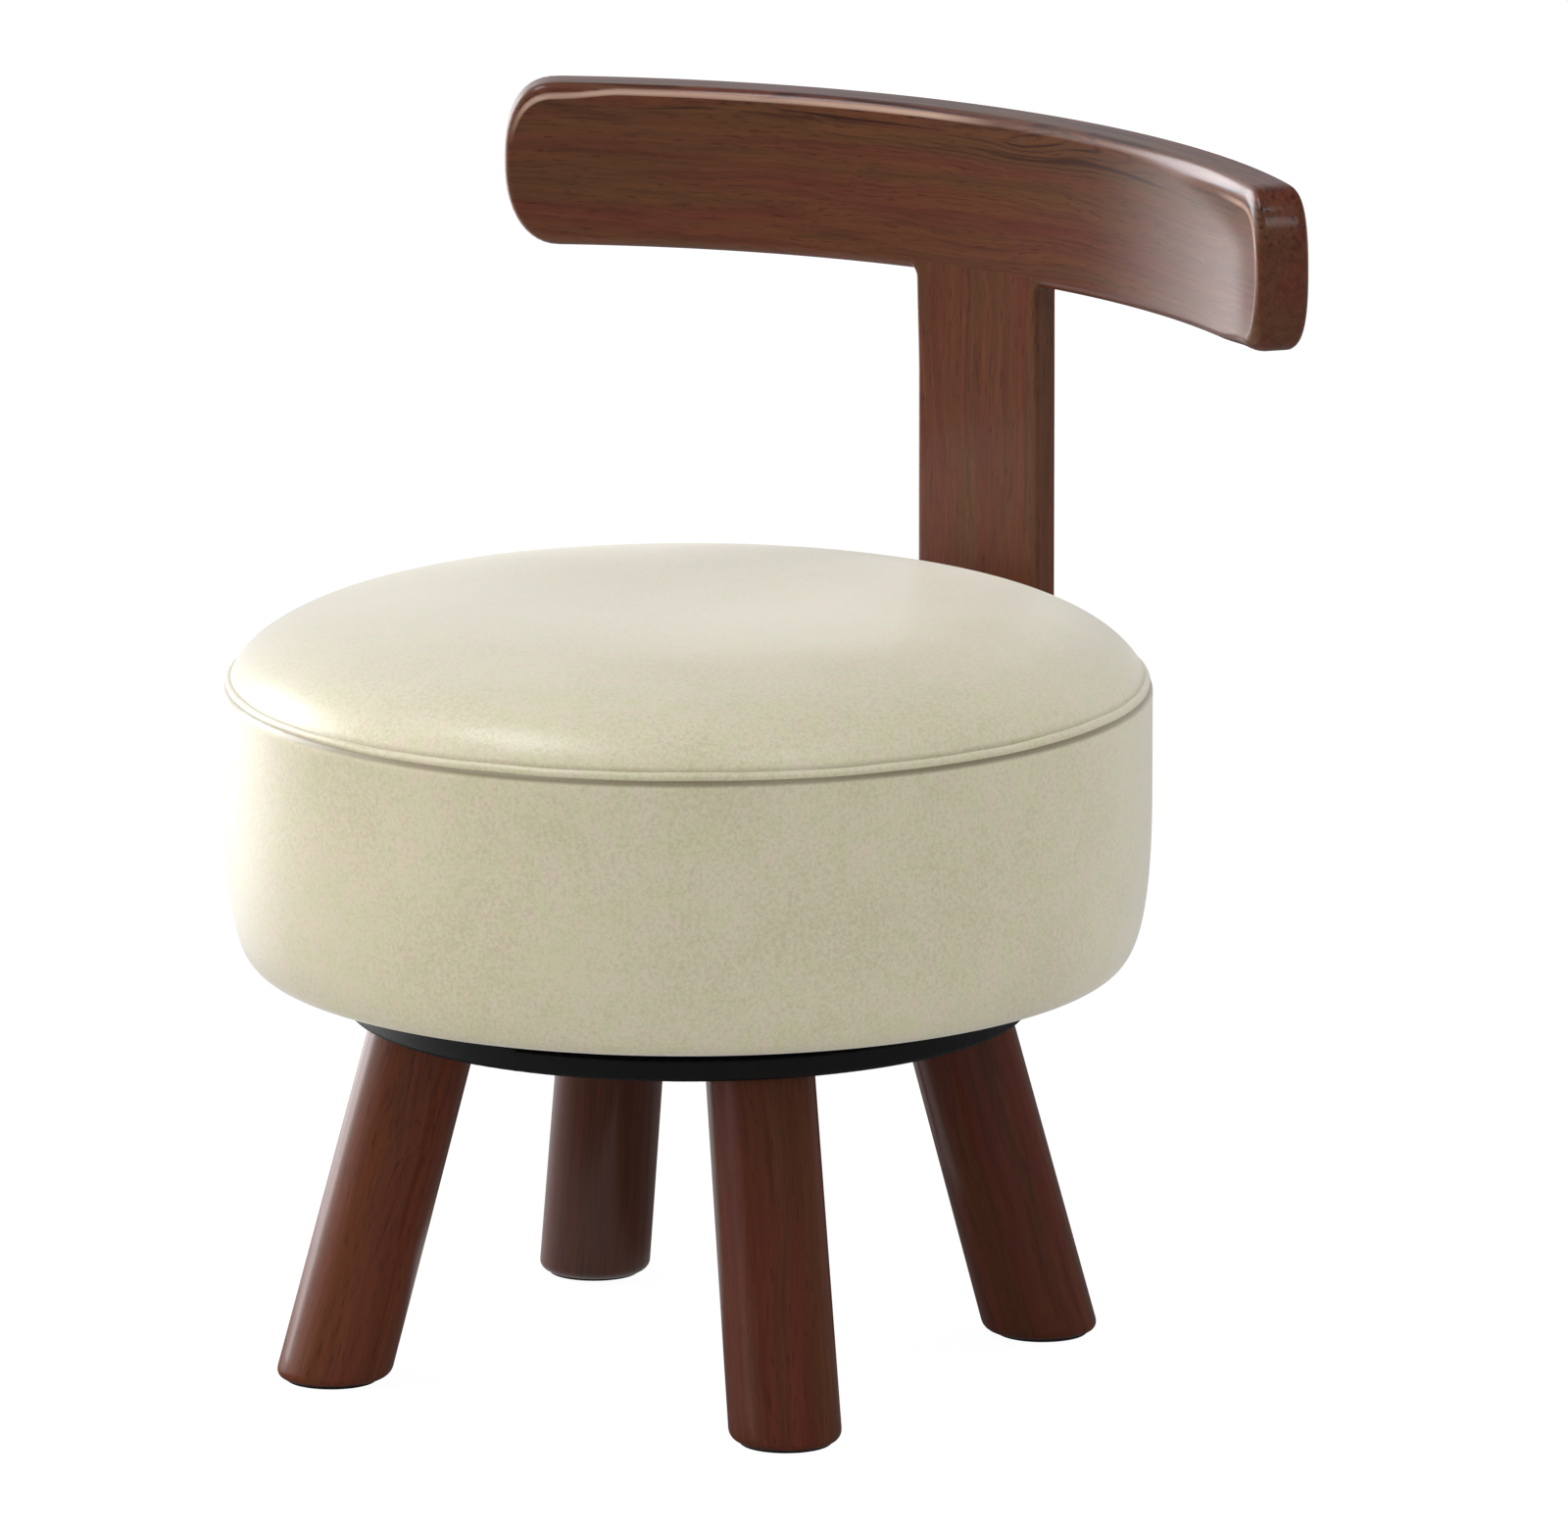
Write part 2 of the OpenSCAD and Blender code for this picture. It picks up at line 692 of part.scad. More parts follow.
module post_t_nuts() {
    color(steel) seat_frame() at_post_bolts(backing_y + t_nut_barrel_l) difference() {
        union() {
            cylinder(r = t_nut_barrel_r, h = t_nut_barrel_l + t_nut_flange_t/2);
            translate([0, 0, t_nut_barrel_l]) cylinder(r = t_nut_flange_r, h = t_nut_flange_t);
        }
        translate([0, 0, -past])
            cylinder(r = bolt_r + run_gap, h = t_nut_barrel_l + t_nut_flange_t + 2*past);
    }
}

leg_front_left();
leg_front_right();
leg_back_left();
leg_back_right();
foot_pads();
base_disc();
leg_inserts();
leg_bolts();
leg_washers();
bearing_lower_plate();
bearing_retainer();
lower_screws();
bearing_balls();
ball_cage();
bearing_upper_plate();
upper_screws();
seat_board();
seat_hoop();
seat_lid();
backing_block();
spacer_block();
side_foam();
crown_foam();
side_cover();
crown_cover();
piping();
dust_cover();
cover_staples();
back_post();
back_rail();
post_bolts();
post_t_nuts();
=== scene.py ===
# %% [markdown]
# # A low swivel stool with a round leather seat
# This notebook dresses the working model of a low stool: a padded drum seat in cream leather, a curved
# back rail on one flat post, and four splayed legs under a black disc. The construction model gives every
# place and size. Here each visible surface is made again with the roundness, grain and padding of the
# real one, and each piece rides on the part of the stool that it belongs to.

# %% Load the construction model
import json

import bmesh
import bpy
import numpy as np
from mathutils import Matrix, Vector


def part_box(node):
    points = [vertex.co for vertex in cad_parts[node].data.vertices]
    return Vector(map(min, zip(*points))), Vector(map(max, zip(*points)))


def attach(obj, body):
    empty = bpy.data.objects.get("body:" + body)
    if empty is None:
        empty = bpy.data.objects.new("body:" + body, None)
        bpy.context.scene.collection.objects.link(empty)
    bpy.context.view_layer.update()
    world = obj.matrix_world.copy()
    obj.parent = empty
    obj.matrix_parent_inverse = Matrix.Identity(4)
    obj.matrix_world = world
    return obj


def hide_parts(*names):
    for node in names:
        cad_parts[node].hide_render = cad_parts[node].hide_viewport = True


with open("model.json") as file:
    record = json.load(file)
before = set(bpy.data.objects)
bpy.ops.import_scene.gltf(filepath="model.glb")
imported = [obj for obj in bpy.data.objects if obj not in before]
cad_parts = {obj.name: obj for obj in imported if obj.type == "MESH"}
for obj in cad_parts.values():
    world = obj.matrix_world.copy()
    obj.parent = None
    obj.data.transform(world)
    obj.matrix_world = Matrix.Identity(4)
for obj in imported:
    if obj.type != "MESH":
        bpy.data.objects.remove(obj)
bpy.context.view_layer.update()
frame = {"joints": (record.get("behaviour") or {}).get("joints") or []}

# %% [markdown]
# ## Units and the swivel axis
# Blender works in metres and a furniture maker thinks in millimetres, so one constant joins the two.
# Everything that turns with the seat is round about the swivel axis, and the axis stands a little in
# front of the origin. Its place is read from the joint itself.

# %% Units
MM = 0.001
TURN = 2 * np.pi
swivel = next(joint for joint in frame["joints"] if joint["name"] == "seat_swivel")
AXIS = np.array([swivel["pos_m"][0], swivel["pos_m"][1], 0.0])
print("swivel axis at", AXIS)

# %% [markdown]
# ## The camera
# The stool is seen from far off with a long lens, so upright lines stay parallel. The camera looks at a
# point in the middle of the picture from 12.5 degrees above the horizon and 38.5 degrees round to the
# right of the stool's front. A far camera with a long lens was chosen over an orthographic one, because
# the near feet are still a touch larger than the far ones.

# %% Camera
LOOK_AT = Vector((0.0274, 0.0116, 0.2211))
LOOK_FROM = Vector((0.6085, -0.7636, 0.2159))
CAMERA_DISTANCE = 7.976
LENS_MM = 501.7

camera_data = bpy.data.cameras.new("camera")
camera_data.lens = LENS_MM
camera_data.sensor_width = 36
camera = bpy.data.objects.new("camera", camera_data)
camera.location = LOOK_AT + CAMERA_DISTANCE * LOOK_FROM
camera.rotation_euler = LOOK_FROM.to_track_quat("Z", "Y").to_euler()
bpy.context.scene.collection.objects.link(camera)
bpy.context.scene.camera = camera
print("camera at", [round(x, 3) for x in camera.location])

# %% [markdown]
# ## Small helpers for meshes
# Every new piece is a grid of points: the rows run one way over the surface and the columns the other
# way. Numpy works out the whole grid at once, and one function turns it into a mesh. A first or last row
# whose points all meet closes the shape as a pole.

# %% Grids to meshes
def surface(name, grid, sharp_deg=40, wrap_rows=False, **layers):
    """A closed mesh from points in rows and columns, where the last column joins the first.
    Point (row, column) has the number row times the count of columns plus column, and each face takes
    a point, the next column's, and the same two of the next row. layers are vectors kept per point."""
    rows, columns = grid.shape[:2]
    row = np.arange(rows if wrap_rows else rows - 1)[:, None]
    column = np.arange(columns)[None, :]
    next_row, next_column = (row + 1) % rows, (column + 1) % columns
    corners = [(row, column), (row, next_column), (next_row, next_column), (next_row, column)]
    faces = np.stack([r * columns + c for r, c in corners], axis=-1).reshape(-1, 4)
    mesh = bpy.data.meshes.new(name)
    mesh.from_pydata(grid.reshape(-1, 3), [], faces)
    for layer, values in layers.items():
        mesh.attributes.new(layer, "FLOAT_VECTOR", "POINT").data.foreach_set("vector", values.ravel())
    piece = bpy.data.objects.new(name, mesh)
    bpy.context.scene.collection.objects.link(piece)
    tidy_mesh(mesh, sharp_deg)
    return piece


def tidy_mesh(mesh, sharp_deg):
    """Merges the points that meet at poles, turns every face outwards and shades the mesh smooth,
    but for edges sharper than sharp_deg."""
    work = bmesh.new()
    work.from_mesh(mesh)
    bmesh.ops.remove_doubles(work, verts=work.verts, dist=1e-6)
    bmesh.ops.dissolve_degenerate(work, edges=work.edges, dist=1e-7)
    bmesh.ops.recalc_face_normals(work, faces=work.faces)
    work.to_mesh(mesh)
    work.free()
    mesh.polygons.foreach_set("use_smooth", np.ones(len(mesh.polygons), bool))
    mesh.set_sharp_from_angle(angle=np.radians(sharp_deg))


def revolve(profile, columns, centre=AXIS):
    """Points (row, column): profile is a row of (radius, height), turned about the upright at centre."""
    angle = np.linspace(0, TURN, columns, endpoint=False)
    radius, height = profile[:, 0:1], profile[:, 1:2]
    x = radius * np.cos(angle)
    y = radius * np.sin(angle)
    return np.stack([x, y, height + 0 * angle], axis=-1) + centre


def quarter(count):
    """Even steps of a quarter turn, in radians, both ends included."""
    return np.linspace(0, TURN / 4, count)


def smooth_step(share):
    """0 up to 0, 1 from 1 on, and between them 3 s squared less 2 s cubed."""
    share = np.clip(share, 0, 1)
    return share * share * (3 - 2 * share)


def joined(name, pieces):
    """One piece from several meshes, so that alike fasteners stay together."""
    work = bmesh.new()
    for piece in pieces:
        work.from_mesh(piece.data)
        bpy.data.objects.remove(piece)
    mesh = bpy.data.meshes.new(name)
    work.to_mesh(mesh)
    work.free()
    whole = bpy.data.objects.new(name, mesh)
    bpy.context.scene.collection.objects.link(whole)
    return whole


def height_of(node):
    """Lowest and highest level of a node of the construction model, in metres."""
    low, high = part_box(node)
    return low.z, high.z


# %% [markdown]
# ## Small helpers for materials
# A finish is a little network of nodes. One function adds a node with its settings and its links, and one
# turns the hex colours that people write into the linear light that Blender computes with.

# %% Nodes and colours
def linear(hex_colour, alpha=1.0):
    """sRGB hex to linear: below 0.04045 divide by 12.92, above it raise (c + 0.055) / 1.055 to 2.4."""
    srgb = np.array([int(hex_colour[i:i + 2], 16) for i in (1, 3, 5)]) / 255
    light = np.where(srgb <= 0.04045, srgb / 12.92, ((srgb + 0.055) / 1.055) ** 2.4)
    return (*light.tolist(), alpha)


def feed(tree, node, inputs):
    """Sets a node's inputs, by name or number: each to a plain value, to the output it is linked from, or
    to a node, whose first open output is meant."""
    for name, value in inputs.items():
        if isinstance(value, bpy.types.Node):
            value = next(output for output in value.outputs if output.enabled)
        if isinstance(value, bpy.types.NodeSocket):
            tree.links.new(value, node.inputs[name])
        else:
            node.inputs[name].default_value = value


def add(tree, kind, inputs=None, ramp=None, **settings):
    """One node. settings are its properties, inputs what is fed to it, and ramp the stops of a colour ramp
    as (place, hex colour)."""
    made = tree.nodes.new("ShaderNode" + kind)
    for name, value in settings.items():
        setattr(made, name, value)
    feed(tree, made, inputs or {})
    if ramp:
        stops = made.color_ramp.elements
        while len(stops) < len(ramp):
            stops.new(0.5)
        for stop, (place, hex_colour) in zip(stops, ramp):
            stop.position = place
            stop.color = linear(hex_colour)
    return made


def finish_of(name, **shader):
    """A new material with one Principled shader, whose plain values are set on its own sockets."""
    material = bpy.data.materials.new(name)
    material.use_nodes = True
    tree = material.node_tree
    tree.nodes.clear()
    inputs = {key.replace("_", " "): value for key, value in shader.items()}
    principled = add(tree, "BsdfPrincipled", inputs)
    add(tree, "OutputMaterial", {"Surface": principled})
    return material, tree, principled


def dress(material, *names):
    """Gives nodes of the construction model, or new pieces, that one material."""
    for name in names:
        piece = bpy.data.objects[name]
        piece.data.materials.clear()
        piece.data.materials.append(material)


# %% [markdown]
# ## Stained walnut
# The wood is planed, stained a reddish brown and lacquered with a satin gloss. Three things give it away:
# soft bands and streaks along the grain, growth rings that show as a few darker lines and as short pointed
# arches where the board was cut close to the pith, and short dark pores. A picture of wood would be
# simpler, but it would not follow the bent rail. So each wooden piece keeps its own wood coordinates per
# point: metres along the grain, across the board, and through its thickness.

# %% Walnut
RING_MM = 2.0
STREAK_MM = 3.2
FIBRE_MM = 0.9  # real fibres are far finer, these are as fine as the picture can show
PORE_MM = 0.7  # real pores are about a third as wide, too narrow to show
LINE_MM = 2.4
FIGURE_HALF = 60 * MM  # the rail shows its arches this far to each side of its middle
WAVE_RINGS = 20 / TURN  # a Wave texture of scale 1 draws this many rings in one unit of length
WALNUT_LIGHT, WALNUT_RED, WALNUT_OLIVE, WALNUT_DARK = "#79462a", "#652f20", "#5f3a21", "#3a1a10"
# the pale colour painted along the rail's rounded edges as their highlight
WALNUT_RIM_HIGHLIGHT = "#d2ae9a"


def stretched(tree, source, along, width_mm, detail, seed):
    """Noise drawn out along the grain: along is its features per metre, width_mm their width across, and
    seed moves to another part of the noise."""
    across = 1 / (width_mm * MM)
    place = add(tree, "Mapping", {"Vector": source, "Scale": (along, across, across),
                                  "Location": (seed, seed, seed)})
    return add(tree, "TexNoise", {"Vector": place, "Scale": 1.0, "Detail": detail,
                                  "Roughness": 0.6}).outputs["Fac"]


def walnut(name, gloss, painted_shade, dye="#ffffff"):
    """gloss is how much lacquer lies on the wood, from 0 to 1, the third argument the painted shade, how
    much darker the wood is painted, where less than 0 it is painted lighter, and dye the colour of the thin
    glaze that tints it."""
    material, tree, shader = finish_of(name, Coat_Weight=gloss, Coat_Roughness=0.15, IOR=1.5,
                                       Specular_IOR_Level=0.22)
    wood = add(tree, "Attribute", attribute_name="wood").outputs["Vector"]
    # The grain sways by a few millimetres along the board
    slow = add(tree, "Mapping", {"Vector": wood, "Scale": (9, 22, 22)})
    drift = add(tree, "TexNoise", {"Vector": slow, "Scale": 1.0, "Detail": 2.0})
    shift = add(tree, "VectorMath", {0: drift.outputs["Color"], 1: (0.5, 0.5, 0.5)}, operation="SUBTRACT")
    sway = add(tree, "VectorMath", {0: shift, 1: (0.0, 0.016, 0.016)}, operation="MULTIPLY")
    bent = add(tree, "VectorMath", {0: wood, 1: sway}, operation="ADD")
    # Growth rings about a pith that runs slightly askew, which draws pointed arches where it surfaces
    askew = add(tree, "Mapping", {"Vector": bent, "Rotation": (0, 0.11, 0.02)})
    rings = add(tree, "TexWave", {"Vector": askew, "Scale": 1 / (WAVE_RINGS * RING_MM * MM),
                                  "Distortion": 1.6, "Detail": 2.0, "Detail Scale": 1.4},
                wave_type="RINGS", rings_direction="X").outputs["Fac"]
    apart = add(tree, "SeparateXYZ", {"Vector": askew})
    near = add(tree, "Math", {0: apart.outputs["Y"]}, operation="ABSOLUTE")
    close = add(tree, "MapRange", {"Value": near, "From Min": 0.002, "From Max": 0.016,
                                   "To Min": 1.0, "To Max": 0.22}, interpolation_type="SMOOTHSTEP")
    streaks = stretched(tree, bent, 9, STREAK_MM, 3.0, 0.0)
    bands = stretched(tree, bent, 4, 4 * STREAK_MM, 2.0, 5.0)
    fibres = stretched(tree, bent, 28, FIBRE_MM, 3.0, 9.0)
    pores = stretched(tree, bent, 120, PORE_MM, 1.0, 14.0)
    pore = add(tree, "MapRange", {"Value": pores, "From Min": 0.57, "From Max": 0.74, "To Max": 0.60})
    # Rings show only where they are strongest, and break up where a streak is pale
    ring = add(tree, "MapRange", {"Value": rings, "From Min": 0.62, "From Max": 0.98})
    broken = add(tree, "MapRange", {"Value": streaks, "From Min": 0.42, "From Max": 0.62})
    patch = add(tree, "Math", {0: ring, 1: broken}, operation="MULTIPLY")
    # The arches are strongest near the middle of the rail, and long lines run beside them
    figured = add(tree, "SeparateXYZ", {"Vector": bent})
    middle = add(tree, "Math", {0: figured.outputs["X"]}, operation="ABSOLUTE")
    figure = add(tree, "MapRange", {"Value": middle, "From Min": FIGURE_HALF, "From Max": 1.5 * FIGURE_HALF,
                                    "To Min": 1.0, "To Max": 0.3})
    masked = add(tree, "Math", {0: patch, 1: figure}, operation="MULTIPLY")
    long_lines = stretched(tree, bent, 4, LINE_MM, 1.0, 21.0)
    drawn = add(tree, "MapRange", {"Value": long_lines, "From Min": 0.56, "From Max": 0.70, "To Max": 0.9})
    either = add(tree, "Math", {0: masked, 1: drawn}, operation="MAXIMUM")
    line = add(tree, "Math", {0: either, 1: close}, operation="MULTIPLY")
    # Streaks, fibres and ring lines add up to one darkness, together with the shade painted on the piece
    dark = add(tree, "Math", {0: streaks, 1: 0.38, 2: 0.07 + painted_shade}, operation="MULTIPLY_ADD")
    more = add(tree, "Math", {0: fibres, 1: 0.24, 2: dark}, operation="MULTIPLY_ADD")
    total = add(tree, "Math", {0: line, 1: 0.50, 2: more}, operation="MULTIPLY_ADD")
    hue = add(tree, "MapRange", {"Value": bands, "From Min": 0.38, "From Max": 0.62})
    body = add(tree, "Mix", {0: hue, 6: linear(WALNUT_RED), 7: linear(WALNUT_OLIVE)}, data_type="RGBA")
    lighter = add(tree, "MapRange", {"Value": total, "From Min": 0.22, "From Max": 0.42,
                                     "To Min": 0.75, "To Max": 0.0})
    pale = add(tree, "Mix", {0: lighter, 6: body, 7: linear(WALNUT_LIGHT)}, data_type="RGBA")
    darker = add(tree, "MapRange", {"Value": total, "From Min": 0.42, "From Max": 0.80})
    deep = add(tree, "Math", {0: darker, 1: pore}, operation="MAXIMUM")
    colour = add(tree, "Mix", {0: deep, 6: pale, 7: linear(WALNUT_DARK)}, data_type="RGBA")
    # A paler colour is painted along the rounded edges as their highlight, broken a little by the streaks
    edge = add(tree, "Attribute", attribute_name="edge").outputs["Fac"]
    painted_highlight = add(tree, "MapRange", {"Value": streaks, "From Min": 0.3, "From Max": 0.6,
                                  "To Min": 0.60, "To Max": 0.90})
    highlight_share = add(tree, "Math", {0: edge, 1: painted_highlight}, operation="MULTIPLY")
    shown = add(tree, "Mix", {0: highlight_share, 6: colour, 7: linear(WALNUT_RIM_HIGHLIGHT)}, data_type="RGBA")
    glazed = add(tree, "Mix", {0: 1.0, 6: shown, 7: linear(dye)}, data_type="RGBA", blend_type="MULTIPLY")
    rough = add(tree, "MapRange", {"Value": fibres, "To Min": 0.34, "To Max": 0.50})
    dent = add(tree, "Math", {0: fibres, 1: pore}, operation="SUBTRACT")
    relief = add(tree, "Bump", {"Height": dent, "Strength": 0.08, "Distance": 0.12 * MM})
    feed(tree, shader, {"Base Color": glazed, "Roughness": rough, "Normal": relief})
    return material


WALNUT = walnut("stained_walnut", 0.45, 0.0)
print("walnut rings every", RING_MM, "mm")

# %% [markdown]
# ## Cream leather
# The seat is covered in a pressed cream leather with a soft protective film. It has a fine pebbled grain
# of about a millimetre, a faint mottling where the dye took a little greener or pinker, and a gloss that
# spreads softly. Cells of a Voronoi texture make the pebbles, noises the mottling and the specks.

# %% Leather
PEBBLE_MM = 1.2
SPECK_MM = 1.6
MOTTLE_MM = 9
CLOUD_MM = 60
# how dark the shade painted into the seam's groove gets
SEAM_SHADE = 0.85
LEATHER_CREAM, LEATHER_GREEN, LEATHER_PINK, LEATHER_DULL = "#e9e0bd", "#e5dfb7", "#ecddc0", "#d3c8a2"
# the colour of the shade painted beside the piping
LEATHER_GROOVE_SHADE = "#75643f"


def cream_leather(name):
    """Three noises of real sizes for the dye and one cell pattern for the pebbles, and the attribute seam
    for the shade painted beside the piping."""
    material, tree, shader = finish_of(name, Coat_Weight=1.0, Coat_Roughness=0.32, IOR=1.52,
                                       Sheen_Weight=1.0, Sheen_Roughness=0.45,
                                       Sheen_Tint=linear("#fffaf0"))
    place = add(tree, "TexCoord").outputs["Object"]
    clouds, mottle, specks = [
        add(tree, "TexNoise", {"Vector": place, "Scale": 1 / (size * MM), "Detail": 3.0, "Roughness": 0.6})
        for size in (CLOUD_MM, MOTTLE_MM, SPECK_MM)]
    hue = add(tree, "ValToRGB", {"Fac": mottle},
              ramp=[(0.38, LEATHER_GREEN), (0.50, LEATHER_CREAM), (0.62, LEATHER_PINK)])
    faint = add(tree, "Math", {0: clouds, 1: 0.5, 2: -0.25}, operation="MULTIPLY_ADD")
    spotty = add(tree, "Math", {0: specks, 1: 1.0, 2: faint}, operation="MULTIPLY_ADD")
    dull = add(tree, "MapRange", {"Value": spotty, "From Min": 0.43, "From Max": 0.70, "To Max": 0.70})
    colour = add(tree, "Mix", {0: dull, 6: hue, 7: linear(LEATHER_DULL)}, data_type="RGBA")
    pebbles = add(tree, "TexVoronoi", {"Vector": place, "Scale": 1 / (PEBBLE_MM * MM)},
                  feature="DISTANCE_TO_EDGE")
    crease = add(tree, "MapRange", {"Value": pebbles.outputs["Distance"], "From Max": 0.18})
    shade = add(tree, "MapRange", {"Value": crease, "To Min": 0.93, "To Max": 1.0})
    # Painted shade darkens the groove beside the piping
    seam = add(tree, "Attribute", attribute_name="seam").outputs["Fac"]
    groove_shade = add(tree, "Math", {0: seam, 1: SEAM_SHADE}, operation="MULTIPLY")
    colour = add(tree, "Mix", {0: groove_shade, 6: colour, 7: linear(LEATHER_GROOVE_SHADE)}, data_type="RGBA")
    tinted = add(tree, "VectorMath", {0: colour, "Scale": shade}, operation="SCALE")
    rough = add(tree, "MapRange", {"Value": mottle, "From Min": 0.35, "From Max": 0.65,
                                   "To Min": 0.44, "To Max": 0.56})
    height = add(tree, "Math", {0: specks, 1: 0.5, 2: crease}, operation="MULTIPLY_ADD")
    relief = add(tree, "Bump", {"Height": height, "Strength": 0.20, "Distance": 0.10 * MM})
    feed(tree, shader, {"Base Color": tinted, "Roughness": rough, "Normal": relief})
    return material


LEATHER = cream_leather("cream_leather")
print("leather pebbles of", PEBBLE_MM, "mm")

# %% [markdown]
# ## The seat's leather covers
# The crown is a shallow dome that falls off steeply to the piped seam, and the band below it is almost
# upright, a little fuller in the middle, with a wide soft rounding where it turns under. The crown and that
# rounding are superellipses: circles whose powers were changed until they had the photographed shoulder.
# The leather is then blown up a little over its foam by a cloth simulation, which gives it the tension of
# real padding, and the movement is capped so that the outline stays true.

# %% Seat sizes
CORD_R = 2.0 * MM  # of the construction model
PIPING_R = 1.8 * MM
PIPING_SUNK = 0.5 * MM
CROWN_POWERS = (5.2, 1.6)
EDGE_POWERS = (4.3, 2.5)
SEAM_DIP, SEAM_FADE = 3.4 * MM, 1.2 * MM
EDGE_W = 25 * MM
HEM_W = 17 * MM
WIDE_ABOVE_BOTTOM = 67.9 * MM
LEATHER_GAP = 0.3 * MM

under_z = height_of("side_cover")[0]
seam_z = sum(height_of("piping")) / 2
crown_z = height_of("crown_cover")[1]
seat_r = (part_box("side_cover")[1].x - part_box("side_cover")[0].x) / 2
seam_r = (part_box("piping")[1].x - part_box("piping")[0].x) / 2 - CORD_R
frame_r = (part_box("seat_hoop")[1].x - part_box("seat_hoop")[0].x) / 2
board_z = height_of("seat_board")[0]
print("seat radius", round(seat_r / MM, 1), "seam height", round(seam_z / MM, 1))


# %% Crown and band as profiles
def crown_profile(count, inset=0.0):
    """(radius, height) from the middle of the dome to the seam: the radius is the seam's times
    sin(t) to 2/5.2, and the height above the seam is the rise times cos(t) to 2/1.6. The steps of t
    are closer together near the middle."""
    t = quarter(count) ** 1.4 / (TURN / 4) ** 0.4
    radius = (seam_r - inset) * np.sin(t) ** (2 / CROWN_POWERS[0])
    height = seam_z + (crown_z - seam_z - inset) * np.abs(np.cos(t)) ** (2 / CROWN_POWERS[1])
    return np.stack([radius, height], axis=-1)


def band_profile(count, inset=0.0):
    """(radius, height) from the seam down to the widest level: the radius is the full one less
    SEAM_DIP times e to the power of minus the distance below the seam over SEAM_FADE."""
    wide_z = under_z + WIDE_ABOVE_BOTTOM
    below = (seam_z - wide_z) * np.linspace(0, 1, count) ** 1.8
    radius = seat_r - inset - SEAM_DIP * np.exp(-below / SEAM_FADE)
    return np.stack([radius, seam_z - below], axis=-1)


def edge_profile(count, inset=0.0):
    """(radius, height) from the widest level round to the flat underside: a quarter superellipse."""
    t = quarter(count)
    wide_z = under_z + WIDE_ABOVE_BOTTOM
    inner = seat_r - EDGE_W
    radius = inner + (seat_r - inset - inner) * np.abs(np.cos(t)) ** (2 / EDGE_POWERS[0])
    height = wide_z - (wide_z - under_z - inset) * np.sin(t) ** (2 / EDGE_POWERS[1])
    return np.stack([radius, height], axis=-1)


# %% [markdown]
# ## Padding by simulation
# A cloth simulation with air pressure is how a cushion is puffed up: the mesh starts a little too small,
# its sewn rows are pinned, gravity is off, and the pressure pushes the rest out. The points are then read
# back and written into the mesh, with each movement capped, so no simulation is left on the piece.

# %% Swell
PRESSURE = 4.0
STRETCH_STIFF, BEND_STIFF = 25, 8
SOLVER_STEPS = 6
FRAMES = 20
IRONED = 14


def swell(piece, sewn, cap):
    """Runs the pressure simulation with the points of sewn (a mask per point) held. Only the part of
    each movement along the point's normal is kept, averaged with its neighbours' IRONED times, because
    leather over foam holds no narrow creases, and no point moves further than cap."""
    mesh = piece.data
    count = len(mesh.vertices)
    before, normals, after = np.empty(count * 3), np.empty(count * 3), np.empty(count * 3)
    mesh.vertices.foreach_get("co", before)
    mesh.vertices.foreach_get("normal", normals)
    group = piece.vertex_groups.new(name="sewn")
    group.add(np.flatnonzero(sewn).tolist(), 1.0, "REPLACE")
    cloth = piece.modifiers.new("swell", "CLOTH")
    cloth.settings.use_pressure = True
    cloth.settings.uniform_pressure_force = PRESSURE
    cloth.settings.vertex_group_mass = "sewn"
    cloth.settings.effector_weights.gravity = 0
    cloth.settings.tension_stiffness = STRETCH_STIFF
    cloth.settings.compression_stiffness = STRETCH_STIFF
    cloth.settings.bending_stiffness = BEND_STIFF
    cloth.settings.quality = SOLVER_STEPS
    scene = bpy.context.scene
    for number in range(1, FRAMES + 1):
        scene.frame_set(number)
    shown = piece.evaluated_get(bpy.context.evaluated_depsgraph_get()).data
    shown.vertices.foreach_get("co", after)
    piece.modifiers.remove(cloth)
    piece.vertex_groups.clear()
    scene.frame_set(1)
    normals = normals.reshape(-1, 3)
    push = ((after - before).reshape(-1, 3) * normals).sum(axis=1)
    edges = np.empty(len(mesh.edges) * 2, int)
    mesh.edges.foreach_get("vertices", edges)
    edges = edges.reshape(-1, 2)
    ends, others = np.concatenate([edges[:, 0], edges[:, 1]]), np.concatenate([edges[:, 1], edges[:, 0]])
    neighbours = np.bincount(ends, minlength=count)
    push = np.clip(push, 0, cap)
    for _ in range(IRONED):
        push[sewn] = 0
        push = 0.5 * push + 0.5 * np.bincount(ends, push[others], count) / neighbours
    push[sewn] = 0
    mesh.vertices.foreach_set("co", before + (normals * push[:, None]).ravel())
    mesh.update()
    tenths = np.round(np.percentile(push, [10, 50, 90]) / MM, 2)
    print(piece.name, "swelled by", tenths, "mm, cap", cap / MM)


def points_of(piece):
    """All points of a mesh, one row each."""
    flat = np.empty(len(piece.data.vertices) * 3)
    piece.data.vertices.foreach_get("co", flat)
    return flat.reshape(-1, 3)


LUMP_WAVES, LUMP_PITCH = 7, 2.6  # how many waves, and their usual count of radians in one seat radius


def foam_lumps(grid, depth, seed):
    """Very shallow unevenness, as hand-laid foam has: a sum of a few slow waves round and across."""
    draw = np.random.default_rng(seed)
    local = (grid - AXIS) / seat_r
    lumps = np.zeros(grid.shape[:2])
    for _ in range(LUMP_WAVES):
        direction, phase = draw.normal(size=3) * LUMP_PITCH, draw.uniform(0, TURN)
        lumps += np.sin(local @ direction + phase)
    return depth * lumps / np.sqrt(LUMP_WAVES)


